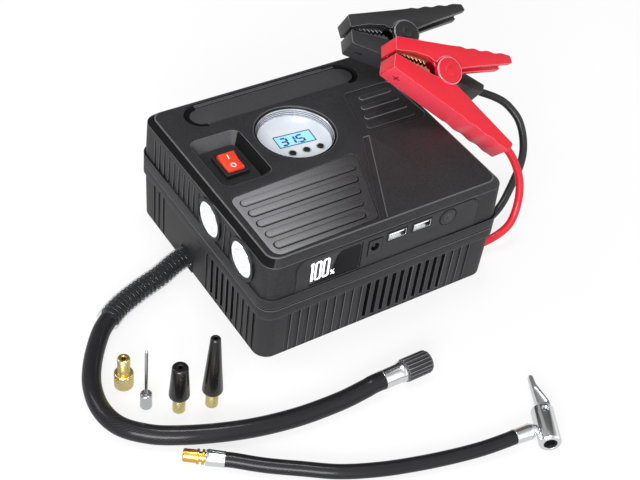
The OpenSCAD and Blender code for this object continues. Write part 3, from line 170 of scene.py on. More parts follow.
class Finish(Nodes):
    """One material: a principled surface with the nodes that drive it."""

    def __init__(self, name, colour, **settings):
        self.material = bpy.data.materials.new(name)
        self.material.use_nodes = True
        super().__init__(self.material.node_tree)
        self.surface = self.tree.nodes["Principled BSDF"]
        self.colour = tuple(colour)[:3]
        self.surface.inputs["Base Color"].default_value = (*self.colour, 1)
        self.material.diffuse_color = (*self.colour, 1)
        for key, value in settings.items():
            self.set(key.replace("_", " ").title().replace("Ior", "IOR"), value)

    def set(self, socket, value):
        self.feed(self.surface.inputs[socket], value)

    def noise(self, size, detail=2.0, stretch=(1, 1, 1)):
        place = self.node("ShaderNodeMapping", Vector=self.at(), Scale=stretch)
        return self.node("ShaderNodeTexNoise", Vector=place, Scale=1 / size, Detail=detail)

    def bump(self, height, depth):
        self.set("Normal", self.node("ShaderNodeBump", Strength=1, Distance=depth, Height=height))

    def shine(self, rgb):
        """One colour for what the surface reflects and what it gives off."""
        self.set("Base Color", rgb)
        self.set("Emission Color", rgb)

    def tint(self, factor):
        return tuple(min(1.0, c * factor) for c in self.colour)


def moulded(name, rgb, rough=0.5, grain=0.8, depth=0.05, mottle=0.1, spec=0.5, **extra):
    """Injection moulded plastic with a spark-eroded grain."""
    f = Finish(name, rgb, specular_ior_level=spec, **extra)
    fine, broad = f.noise(grain * MM, 3.0), f.noise(34 * MM)
    f.set("Base Color", f.mix(f.clamp(broad * 0.3 + fine * 1.6 - 0.45), f.tint(1 - mottle), f.tint(1 + mottle)))
    f.set("Roughness", f.clamp(rough - 0.08 + fine * 0.1 + broad * 0.08))
    f.bump(fine, depth * MM)
    return f


def metal(name, rgb, rough, brushed=(1, 1, 1), depth=0.01, grain=0.5):
    """Plated or turned metal with fine working marks."""
    f = Finish(name, rgb, metallic=1.0)
    marks, cloud = f.noise(grain * MM, 3.0, brushed), f.noise(7 * MM)
    f.set("Base Color", f.mix(f.clamp(cloud * 0.7 + marks * 0.3), f.tint(0.94), f.tint(1.03)))
    f.set("Roughness", f.clamp(rough - 0.05 + marks * 0.1 + cloud * 0.06))
    f.bump(marks, depth * MM)
    return f


def braided(name, rgb, around, pitch, depth=0.3):
    """Cord or hose with a crossed braid; its UV runs along in metres and round in turns."""
    f = Finish(name, rgb, roughness=0.5, specular_ior_level=0.12, coat_weight=0.3, coat_roughness=0.14)
    u, v, _ = f.split(f.node("ShaderNodeTexCoord", out=2))
    run, turn = u * (tau / pitch), v * (tau * around)
    one, two = f.math("SINE", run + turn), f.math("SINE", run - turn)
    yarn = f.clamp(0.5 + 0.5 * f.math("MAXIMUM", one, two) * abs(one * 0.4 + 0.6))
    cloud, dust = f.noise(16 * MM), f.noise(0.5 * MM)
    # the crowns of the braid are painted lighter and its hollows darker, painted highlight and painted shade
    f.set("Base Color", f.mix(f.clamp(yarn * 0.75 + dust * 0.35 - 0.1), f.tint(0.15), f.tint(3.6)))
    f.set("Roughness", f.clamp(0.46 - yarn * 0.2 + cloud * 0.08))
    f.bump(yarn * 0.85 + dust * 0.15, depth * MM)
    return f


def clear(name, rgb, core, rim):
    """Thin clear plastic that shows most where it is seen edge on."""
    f = Finish(name, rgb, roughness=0.08, specular_ior_level=0.4)
    facing = f.node("ShaderNodeLayerWeight", out=1, Blend=0.35)
    f.set("Alpha", f.clamp(core + rim * facing ** 3))
    f.set("Roughness", f.clamp(0.05 + f.noise(6 * MM) * 0.12))
    return f


def ribbed(name, rgb, pitch, depth, centre=None, count=0):
    """Upright turned metal with level threads, or with a diamond knurl round a centre."""
    f = Finish(name, rgb, metallic=1.0)
    x, y, z = f.split(f.at())
    wave = z * (tau / pitch)
    if centre:
        turn = f.math("ARCTAN2", y - centre[1], x - centre[0]) * count
        height = f.clamp(0.5 + 0.5 * f.math("MINIMUM", f.math("SINE", wave + turn), f.math("SINE", wave - turn)))
    else:
        height = 0.5 + 0.5 * f.math("SINE", wave)
    cloud = f.noise(5 * MM)
    # the crests are painted lighter and the grooves darker, painted highlight and painted shade
    f.set("Base Color", f.mix(f.clamp(height * 0.7 + cloud * 0.4), f.tint(0.68), f.tint(1.15)))
    f.set("Roughness", f.clamp(0.34 - height * 0.1 + cloud * 0.06))
    f.bump(height + cloud * 0.05, depth * MM)
    return f


# ---------- modelling helpers ----------
def pick(*objects):
    bpy.ops.object.select_all(action="DESELECT")
    for o in objects:
        o.select_set(True)
    bpy.context.view_layer.objects.active = objects[0]


def edit(o, *steps):
    """Runs edit mode steps on the whole of one object."""
    pick(o)
    bpy.ops.object.mode_set(mode="EDIT")
    bpy.ops.mesh.select_all(action="SELECT")
    for step in steps:
        step()
    bpy.ops.object.mode_set(mode="OBJECT")


def settled(o):
    """Moves the place, turn and scale of a piece into its mesh."""
    pick(o)
    bpy.ops.object.transform_apply(location=True, rotation=True, scale=True)


def added(name, data):
    """A new object of a mesh, lamp or camera, in the scene."""
    o = bpy.data.objects.new(name, data)
    bpy.context.scene.collection.objects.link(o)
    return o


def finished(o, name, finishes, body, slot, sharp=35):
    """Names a piece and gives it its finish, or its list of finishes, and its body; its slot is not used."""
    settled(o)
    bpy.ops.object.shade_smooth_by_angle(angle=radians(sharp))
    o.name = o.data.name = name
    finishes = finishes if isinstance(finishes, list) else [finishes]
    kept = [min(f.material_index, len(finishes) - 1) for f in o.data.polygons]
    o.data.materials.clear()
    for f in finishes:
        o.data.materials.append(f.material)
    o.data.polygons.foreach_set("material_index", kept)
    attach(o, body)
    return o


def modifier(o, kind, **settings):
    pick(o)
    m = o.modifiers.new(kind.title(), kind)
    for key, value in settings.items():
        setattr(m, key, value)
    bpy.ops.object.modifier_apply(modifier=m.name)


def eased(o, width, sharp):
    """Gives each outward edge as much of a rounding as the faces beside it have room for."""
    # the share of that room beside another rounded edge, and beside a plain one
    shared, alone = 0.45, 0.85
    bm = bmesh.new()
    bm.from_mesh(o.data)
    layer = bm.edges.layers.float.get("bevel_weight_edge") or bm.edges.layers.float.new("bevel_weight_edge")
    number = bm.edges.layers.int.new("line")
    chosen = {e: width for e in bm.edges if len(e.link_faces) == 2 and e.is_convex and e.calc_face_angle(0) > sharp}
    for face in bm.faces:
        edges = list(face.edges)
        mine = [e for e in edges if e in chosen]
        start, end = (np.array([e.verts[k].co for e in edges]) for k in (0, 1))
        run = end - start
        size = np.maximum((run ** 2).sum(1), 1e-18)
        share = np.array([shared if e in chosen else alone for e in edges])
        for e in mine:
            a, b = (np.array(v.co) for v in e.verts)
            apart = np.array([not set(other.verts) & set(e.verts) for other in edges])
            way = (b - a) / max(np.linalg.norm(b - a), 1e-9)
            for p in (a, b, (a + b) / 2):
                t = np.clip(((p - start) * run).sum(1) / size, 0, 1)
                reach = start + t[:, None] * run - p
                across = np.linalg.norm(reach - (reach @ way)[:, None] * way, axis=1)
                beside = apart & (across > 0.6 * np.linalg.norm(reach, axis=1))
                if beside.any():
                    chosen[e] = min(chosen[e], (across * share)[beside].min())
    for e, room in chosen.items():
        way = (e.verts[1].co - e.verts[0].co).normalized()
        for v in e.verts:
            for other in v.link_edges:
                branch = other.other_vert(v).co - v.co
                if other is not e and abs(branch.normalized().dot(way)) < 0.9:
                    room = min(room, branch.length * (shared if other in chosen else alone))
        chosen[e] = room
    # one width along each smooth line of edges
    left, count = set(chosen), 0
    while left:
        count += 1
        line, ahead = [], [left.pop()]
        while ahead:
            e = ahead.pop()
            line.append(e)
            for v in e.verts:
                way = (e.other_vert(v).co - v.co).normalized()
                for other in v.link_edges:
                    if other in left and (other.other_vert(v).co - v.co).normalized().dot(way) < -0.8:
                        left.discard(other)
                        ahead.append(other)
        room = min(chosen[e] for e in line)
        for e in line:
            e[layer], e[number] = room / width, count
    bm.to_mesh(o.data)
    bm.free()


def torn(mesh):
    """Corners of the faces that fold over themselves."""
    mesh.calc_loop_triangles()
    area, of = np.zeros(len(mesh.loop_triangles)), np.zeros(len(mesh.loop_triangles), int)
    mesh.loop_triangles.foreach_get("area", area)
    mesh.loop_triangles.foreach_get("polygon_index", of)
    whole = np.array([p.area for p in mesh.polygons])
    over = np.bincount(of, area, len(whole)) - whole
    return [mesh.vertices[v].co for k in np.nonzero((over > 3e-8) & (over > whole * 0.03))[0]
            for v in mesh.polygons[k].vertices]


def rounded(o, width, segments, sharp, edge_finish):
    """Rounds the edges, again with less where a face came out torn."""
    tries, reach = 5, 1.2 * MM
    eased(o, width, sharp)
    for attempt in range(tries):
        source = o.data.copy()
        modifier(o, "BEVEL", width=width, segments=segments, limit_method="WEIGHT", use_clamp_overlap=False,
                 material=1 if edge_finish else -1, miter_outer="MITER_SHARP")
        spots = torn(o.data)
        if not spots or attempt == tries - 1:
            break
        weight, line = (np.zeros(len(source.edges), t) for t in (float, int))
        source.attributes["bevel_weight_edge"].data.foreach_get("value", weight)
        source.attributes["line"].data.foreach_get("value", line)
        co = np.array([v.co for v in source.vertices])[np.array([e.vertices[:] for e in source.edges])]
        spots = np.array(spots)
        near = [np.linalg.norm(spots - p, axis=1).min() < reach for p in co.mean(1)]
        near = np.array(near) | (np.linalg.norm(co[:, 0, None] - spots, axis=2).min(1) < reach)
        source.attributes["bevel_weight_edge"].data.foreach_set(
            "value", np.where(np.isin(line, line[near & (line > 0)]), weight * 0.4, weight))
        o.data = source


def copied(node):
    """A welded copy of a CAD node."""
    o = added(node + "_dressed", frame["nodes"][node].data.copy())
    edit(o, bpy.ops.mesh.customdata_custom_splitnormals_clear,
         lambda: bpy.ops.mesh.remove_doubles(threshold=4e-6),
         lambda: bpy.ops.mesh.dissolve_limited(angle_limit=radians(0.8)))
    return o


def sliced(o, across, along):
    """Divides the wide faces at upright planes, given in millimetres."""
    for co, no in [((x * MM, 0, 0), (1, 0, 0)) for x in across] + [((0, y * MM, 0), (0, 1, 0)) for y in along]:
        edit(o, lambda: bpy.ops.mesh.bisect(plane_co=co, plane_no=no))
    return o


def cut(o, *cutters):
    """Takes other pieces out of a piece."""
    for c in cutters:
        settled(c)
        modifier(o, "BOOLEAN", object=c, operation="DIFFERENCE", solver="EXACT")
        bpy.data.objects.remove(c)


def dress(node, finish, edge=0.4, segments=2, sharp=32, edge_finish=None, o=None):
    """A welded copy of a CAD node with rounded edges stands for it."""
    o, finishes = o or copied(node), [finish, edge_finish] if edge_finish else [finish]
    o.data.materials.clear()
    for f in finishes:
        o.data.materials.append(f.material)
    if edge:
        rounded(o, edge * MM, segments, radians(sharp), edge_finish)
    finished(o, node + "_dressed", finishes, BODY[node], SLOT[node], sharp)
    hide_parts(node)
    return o


def coat(node, finish):
    """A CAD node that keeps its mesh gets its finish."""
    for s in frame["nodes"][node].material_slots:
        s.material = finish.material


def smooth_route(points, steps=8):
    """Smooth curve through the points of a route, given in millimetres."""
    p = [Vector(q) * MM for q in points]
    out = []
    for i in range(len(p) - 1):
        a, b, c, d = p[max(i - 1, 0)], p[i], p[i + 1], p[min(i + 2, len(p) - 1)]
        for j in range(steps):
            t = j / steps
            out.append(0.5 * (2 * b + (c - a) * t + (2 * a - 5 * b + 4 * c - d) * t * t
                              + (3 * b - a - 3 * c + d) * t ** 3))
    return out + [p[-1]]


def lengths(path):
    """Length of the path up to each of its points."""
    run = [0.0]
    for a, b in zip(path, path[1:]):
        run.append(run[-1] + (b - a).length)
    return run


def total(path):
    return lengths(path)[-1]


def carried(path):
    """Side and upper vector of each point, carried along without twist."""
    up, out = Vector((0, 0, 1)), []
    for i in range(len(path)):
        t = (path[min(i + 1, len(path) - 1)] - path[max(i - 1, 0)]).normalized()
        up = (up - up.dot(t) * t).normalized()
        out.append((t.cross(up), up))
    return out


def tube(name, path, radius, sides=24, capped=True):
    """Closed mesh tube along a path; UV runs along in metres and round in turns."""
    verts, faces, uvs, run, last = [], [], [], lengths(path), (len(path) - 1) * sides
    for p, (side, up) in zip(path, carried(path)):
        for k in range(sides):
            a = tau * k / sides
            verts.append(p + radius * (cos(a) * up + sin(a) * side))
    for i in range(len(path) - 1):
        for k in range(sides):
            here, after, n = i * sides, (i + 1) * sides, (k + 1) % sides
            faces.append((here + k, here + n, after + n, after + k))
            uvs.append([(run[i + far], (k + on) / sides) for far, on in ((0, 0), (0, 1), (1, 1), (1, 0))])
    if capped:
        faces += [tuple(range(sides - 1, -1, -1)), tuple(range(last, last + sides))]
        uvs += [[(0, 0)] * sides] * 2
    mesh = bpy.data.meshes.new(name)
    mesh.from_pydata(verts, [], faces)
    layer = mesh.uv_layers.new(name="Run")
    for poly, coords in zip(mesh.polygons, uvs):
        for loop, co in zip(poly.loop_indices, coords):
            layer.data[loop].uv = co
    mesh.validate()
    o = added(name, mesh)
    edit(o, bpy.ops.mesh.normals_make_consistent)
    return o


def moved(at, degrees, axis):
    """A place in millimetres and a turn about one axis."""
    return Matrix.Translation(Vector(at) * MM) @ Matrix.Rotation(radians(degrees), 4, axis)


def strand(name, node, path, width, sides, finish, slot):
    """A tube of a width in millimetres, in its finish, stands for a node of the case."""
    o = finished(tube(name, path, width / 2 * MM, sides), name, finish, "case", slot, 60)
    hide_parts(node)
    return o


def block(size, at, turn=(0, 0, 0), round_by=0.0):
    """A small bar started as a cube, its edges bevelled; all in millimetres."""
    bpy.ops.mesh.primitive_cube_add(size=1, location=Vector(at) * MM, rotation=turn)
    o = bpy.context.object
    o.dimensions = Vector(size) * MM
    bpy.ops.object.transform_apply(location=False, rotation=False, scale=True)
    if round_by:
        edit(o, lambda: bpy.ops.mesh.bevel(offset=round_by * MM, segments=2, affect="EDGES"))
    return o


def ring(radius, wire, at=(0, 0, 0), turn=(0, 0, 0), around=40, across=8):
    """A ring of round wire, in millimetres."""
    bpy.ops.mesh.primitive_torus_add(location=Vector(at) * MM, rotation=turn, major_radius=radius * MM,
                                     minor_radius=wire * MM, major_segments=around, minor_segments=across)
    return bpy.context.object


def joined(pieces, matrix=None):
    """One mesh of several pieces, moved as a whole."""
    for o in pieces:
        settled(o)
    pick(*pieces)
    if len(pieces) > 1:
        bpy.ops.object.join()
    if matrix:
        bpy.context.object.data.transform(matrix)
    return bpy.context.object


def stretched(o, length, width, at):
    """Draws the two halves of a round piece apart along x, up to a length."""
    right = [v.index for v in o.data.vertices if v.co.x > -1e-7]

    def draw(side):
        mesh = bmesh.from_edit_mesh(o.data)
        for k, v in enumerate(mesh.verts):
            v.select_set((k in right) == (side > 0))
        mesh.select_flush_mode()
        bmesh.update_edit_mesh(o.data)
        bpy.ops.transform.translate(value=(side * (length - width) / 2 * MM, 0, 0))

    edit(o, lambda: draw(1), lambda: draw(-1))
    o.location = Vector(at) * MM
    return o


def stadium_rod(length, width, wire, at):
    """A round rod bent into a closed stadium."""
    return stretched(ring(width / 2, wire, around=48), length, width, at)


def stadium_block(length, width, low, high, at):
    """A stadium plate between two heights."""
    bpy.ops.mesh.primitive_cylinder_add(vertices=48, radius=width / 2 * MM, depth=(high - low) * MM,
                                        location=(0, 0, (high + low) / 2 * MM))
    bpy.ops.object.transform_apply(location=True)
    return stretched(bpy.context.object, length, width, at)


def turned(profile, sides):
    """A ring drawn out of a circle along a closed profile of (radius, height), in millimetres."""
    bpy.ops.mesh.primitive_circle_add(vertices=sides, radius=profile[0][0] * MM, location=(0, 0, 0))
    o = bpy.context.object

    def draw():
        bpy.ops.transform.translate(value=(0, 0, profile[0][1] * MM))
        for (ra, za), (rb, zb) in zip(profile, profile[1:]):
            bpy.ops.mesh.extrude_edges_move(TRANSFORM_OT_translate={"value": (0, 0, (zb - za) * MM)})
            bpy.ops.transform.resize(value=(rb / ra, rb / ra, 1), center_override=(0, 0, zb * MM))
        bpy.ops.mesh.select_all(action="SELECT")
        bpy.ops.mesh.select_non_manifold(extend=False)
        bpy.ops.mesh.bridge_edge_loops()
        bpy.ops.mesh.select_all(action="SELECT")

    edit(o, draw, bpy.ops.mesh.normals_make_consistent)
    return o


def plate(name, points, y, thick):
    """A thin plate in an upright plane, drawn through its corners (x, z) and pushed out by its thickness."""
    mesh = bpy.data.meshes.new(name)
    mesh.from_pydata([(x * MM, y * MM, z * MM) for x, z in points], [], [tuple(range(len(points)))])
    o = added(name, mesh)
    edit(o, lambda: bpy.ops.mesh.extrude_region_move(TRANSFORM_OT_translate={"value": (0, -thick * MM, 0)}),
         lambda: bpy.ops.mesh.select_all(action="SELECT"),
         bpy.ops.mesh.normals_make_consistent)
    return o


def parted(o, finish, test, edges=True):
    """Another finish for the faces that pass a test on their centre, in millimetres, and their normal."""
    finishes = o.data.materials
    if finish.material.name not in finishes:
        finishes.append(finish.material)
    index = finishes.find(finish.material.name)
    for f in o.data.polygons:
        if (edges or f.material_index != 1) and test(f.center / MM, f.normal):
            f.material_index = index


# ---------- places and sizes that repeat those of the solids, in millimetres ----------
CASE_H = 80.4
FRONT = -80.1
GAUGE = Vector((-8, 20.5, 74.4))
SWITCH = Vector((-58.3, 15.8, 73.4))
LABEL_Y, LABEL_LONG, LABEL_WIDE, LABEL_STEPS = 61.3, 132, 24, (0.5, 0.95, 1.4)
POWER = Vector((42.5, FRONT, 68.2))
UPRIGHT = (pi / 2, 0, 0)
# the bars of the grip panel: left end, right end and y
GRIP_BARS = [(-74.5, 7.4, -25.2), (-74.5, 2.6, -35.2), (-74.7, -2.2, -45.1), (-74.8, -6.8, -55.2),
             (-74.9, -12.2, -65.2)]
BUTTONS = [(-16.8, 8.5), (-6.8, 7.6), (3.2, 6.9)]
POWER_R, USB_L = 6, 13.1
HOSE_D, GUARD_WIRE, SLEEVE_D, EXT_D, CABLE_D = 11.4, 0.9, 14.8, 8.7, 5.5
HOSE_Z, REST_Z = 7.5, 5.8
HOSE = [(x, y, HOSE_Z) for x, y in ((-83.9, 16), (-86, 16), (-91, 15.6), (-99, 12.8), (-111, 7.5), (-128, 2),
                                    (-145, -5), (-157, -13))] + [(-166, -21, REST_Z + 0.9)]
HOSE += [(x, y, REST_Z) for x, y in ((-178, -37), (-186.5, -54), (-189.5, -72), (-185.5, -88), (-173.5, -101),
                                     (-158.5, -110), (-137.5, -119), (-115, -126), (-90, -130.5), (-64, -132))]
HOSE += [(-47, -131.7, REST_Z + 0.8), (-39.5, -131.5, 7.59), (-33, -131.5, 7.59)]
TIP = Vector((-163, -122, 4.45))
EXT_A, EXT_B = radians(-36), radians(-6)
DIR_A, DIR_B = Vector((cos(EXT_A), sin(EXT_A), 0)), Vector((cos(EXT_B), sin(EXT_B), 0))
EXT_FROM, EXT_END = TIP + 24 * DIR_A, Vector((11.8, -203.4, 6.9))
EXTENSION = [EXT_FROM, EXT_FROM + 5 * DIR_A]
EXTENSION += [(x, y, TIP.z) for x, y in ((-126, -150.2), (-109, -162), (-91, -174), (-70, -183.5), (-47, -191),
                                         (-26, -196.4))]
EXTENSION += [(-9, -200.4, TIP.z + 1), EXT_END - 6 * DIR_B - Vector((0, 0, 0.36)), EXT_END]
RED_CABLE = [
    (83.6, -62.5, 8), (88, -62.5, 8), (94, -62.5, 8), (99, -62.6, 8), (107, -63, 10), (113.5, -63.3, 13),
    (119, -63, 17.5), (123.5, -61, 23.5), (126.5, -58.5, 30.5), (128, -56, 38), (128.5, -52.5, 46), (127, -48.5, 54),
    (124.6, -45, 60.5), (121.6, -41.5, 65.6), (117.5, -38, 68.9), (113.3, -34.7, 72.1)]
BLACK_CABLE = [
    (83.6, -46, 8), (88, -46, 8), (94, -46, 8), (99, -46, 8), (106, -46.5, 8.6), (114, -46.5, 9.8), (122, -45, 12),
    (130, -42, 15.5), (137.5, -38, 20), (144.5, -34, 25.5), (151, -30, 31.5), (156, -25.5, 37.5), (159, -20.5, 43.5),
    (160.4, -15, 50), (160, -9.5, 56), (157.5, -4, 61), (153.5, 1.5, 65.4), (147.5, 6.5, 68.6), (139.4, 12, 71.4),
    (134.4, 15.2, 73.4), (129.4, 18.3, 75.4)]
CLAMP_AT = {"red": Vector((91.2, 3.2, 105.9)), "black": Vector((96.9, 56.2, 99.4))}
CLAMP_TURN = {"red": (56.6, -23.3, 156.2), "black": (60, -11.1, 162.9)}
CLAMP = {name: Matrix.Translation(at * MM) @ Euler(map(radians, CLAMP_TURN[name])).to_matrix().to_4x4()
         for name, at in CLAMP_AT.items()}
# the camera: azimuth, height and roll in degrees, the point it looks at and its distance in mm, its lens
VIEW_TURN, VIEW_AT, VIEW_FAR, VIEW_LENS = (-37.84, 42.65, 7.76), (-21.77, -37.97, 40), 800.77, 71.39


class KitOperator:
    bl_options = {"REGISTER", "UNDO"}


class KIT_OT_case(KitOperator, bpy.types.Operator):
    """Shells, roof panels, feet and screws of the case"""
    bl_idname = "kit.case"
    bl_label = "Case"

    def execute(self, context):
        c, s = context.scene.kit_colours, context.scene.kit_sizes
        grain, edge = s.grain / MM, s.shell_edge / MM
        shell = moulded("Moulded shell", c.case, 0.5, grain, 0.06, 0.7, 0.35)
        # the rounded edges of the shells are painted five times lighter, a painted highlight
        edge_finish = moulded("Shell edge highlight", shell.tint(5.0), 0.4, grain, 0.02, 0.2)
        painted_shade = moulded("Painted shade", shell.tint(0.25), 0.7, grain, 0.02, 0.2, 0.1)
        painted_light = moulded("Lit recess wall", shell.tint(3.4), 0.45, grain, 0.04, 0.3, 0.4)
        line = moulded("Parting line", shell.tint(0.15), 0.6, grain, 0.02, 0.2, 0.15)
        label_floor_light = moulded("Label floor painted light", shell.tint(2.2), 0.5, grain, 0.06, 0.4, 0.35)
        # the label recess in three steps, with a groove round each of its ends
        label = [stadium_block(LABEL_LONG - 3 * k, LABEL_WIDE - 3 * k, CASE_H - depth, CASE_H + 1, (0, LABEL_Y, 0))
                 for k, depth in enumerate(LABEL_STEPS)]
        middle = (LABEL_LONG - LABEL_WIDE) / 2
        for side in (-1, 1):
            groove = ring(9.6, 2.2, (side * middle, LABEL_Y, CASE_H - 0.2), around=48, across=12)
            settled(groove)
            edit(groove, lambda: bpy.ops.mesh.bisect(plane_co=(side * middle * MM, 0, 0), plane_no=(side, 0, 0),
                                                     use_fill=True, clear_inner=True))
            label.append(groove)
        upper = copied("upper_case")
        cut(upper, *label)
        rows = (-40.3, 3.1, 44.7), (-38.3, 2.9, 41.3)
        upper = dress("upper_case", shell, edge, 3, 30, edge_finish, sliced(upper, *rows))
        lower = dress("lower_case", shell, edge * 0.7, 2, 30, edge_finish, sliced(copied("lower_case"), *rows))

        # painted shade on the walls of slots, label recess and rocker pocket and on all that lies inside the shells
        def in_pocket(c):
            return SWITCH.z - 0.4 < c.z < CASE_H - 0.2 and abs(c.x - SWITCH.x) < 18

        def shaded(c, n):
            slot_wall = (abs(n.x) > 0.88 and abs(c.y) > 77.2 and abs(c.x) < 78) or (
                abs(n.y) > 0.88 and abs(c.x) > 83 and abs(c.y) < 68)
            label_wall = 77 < c.z < 80.3 and (n.z < 0.9 or c.z < 78.95) and abs(c.y - LABEL_Y) < 12.6 and abs(c.x) < 67
            pocket_wall = in_pocket(c) and n.x < -0.35 and abs(c.y - SWITCH.y) < 19
            within = abs(c.y) < 76.6 and abs(c.x) < 82.5 and c.z < 71
            return slot_wall or label_wall or pocket_wall or within

        parted(upper, painted_shade, shaded)
        parted(lower, painted_shade, shaded)
        # painted light on the rear wall of the pocket and on the rear step of the label, and painted shade on the left
        # chamfer
        parted(upper, painted_light, lambda c, n: in_pocket(c) and n.y < -0.35 and 0 < c.y < 40)
        parted(upper, painted_light, lambda c, n: 79.2 < c.z < 80.1 and n.z > 0.9 and abs(c.x) < 60 and 66 < c.y < 74)
        parted(upper, painted_shade, lambda c, n: c.x < -80 and c.z > 74 and n.x < -0.35 and n.z > 0.3, edges=False)
        # the floor of the label recess is painted lighter than the roof, painted light that brings out the edge of the
        # recess
        parted(upper, label_floor_light, lambda c, n: 78.96 < c.z < 79.1 and n.z > 0.95 and abs(c.x) < 64 and 49 < c.y < 73)
        grip = moulded("Grip panel plastic", c.grip, 0.46, grain, 0.04, spec=0.35)
        # the rounded edges of the panel and its bars are painted lighter, a painted highlight
        rim = moulded("Grip edge highlight", grip.tint(1.2), 0.4, grain, 0.02)
        # painted sheen: the panel is painted lighter at its left rear and darker at its right front
        x, y, _ = grip.split(grip.at())
        painted_sheen = grip.ease(x - 0.5 * y, -55 * MM, 35 * MM) + grip.noise(grain * MM, 3.0) * 0.5 - 0.25
        grip.set("Base Color", grip.mix(grip.clamp(painted_sheen), grip.tint(3.9), grip.tint(0.45)))
        panel = copied("grip_panel")
        cut(panel, *[stadium_rod(b - a + 0.5, 5.66, 0.34, ((a + b) / 2, y, CASE_H - 0.1)) for a, b, y in GRIP_BARS])
        panel = dress("grip_panel", grip, 0.3, 2, 30, rim, panel)
        # a dark parting line round the panel, and painted shade on the walls of the bar grooves
        parted(panel, line, lambda c, n: 79 < c.z < 80.28 and n.z < 0.97)
        dress("port_panel", moulded("Port panel plastic", c.panel, 0.48, grain, 0.04, 0.3, 0.3), 0.4, 2, 30, line,
              sliced(copied("port_panel"), (-66.3, -18.1, 61.9), ()))
        rubber = moulded("Moulded rubber", c.rubber, 0.75, 0.9, 0.06, spec=0.35)
        for node, width in (("rubber_feet", 0.4), ("hose_grommet", 0.35), ("cable_glands", 0.3)):
            dress(node, rubber, width)
        coat("case_screws", metal("Zinc screws", srgb(150, 152, 156), 0.35))
        return {"FINISHED"}


class KIT_OT_inside(KitOperator, bpy.types.Operator):
    """Battery, board, motor and compressor inside the case"""
    bl_idname = "kit.inside"
    bl_label = "Inside"

    def execute(self, context):
        cast = metal("Cast aluminium", srgb(168, 170, 173), 0.45, depth=0.06, grain=0.9)
        coat("battery_pack", moulded("Shrink film", srgb(26, 28, 33), 0.3, 2.5, 0.05, spec=0.6))
        coat("port_board", moulded("Lacquered board", srgb(28, 98, 58), 0.28, 1.5, 0.02, spec=0.6))
        coat("compressor_motor", metal("Motor can", srgb(140, 143, 147), 0.35, (1, 10, 10)))
        coat("motor_pinion", metal("Pinion brass", srgb(206, 164, 92), 0.3))
        coat("crank_gear", moulded("Gear plastic", srgb(222, 224, 226), 0.42, 0.8, 0.02))
        for node in ("cylinder", "connecting_rod"):
            coat(node, cast)
        coat("piston", metal("Turned aluminium", srgb(186, 188, 191), 0.28, (1, 12, 12)))
        coat("air_pipe", metal("Pipe brass", srgb(206, 164, 92), 0.25))
        return {"FINISHED"}


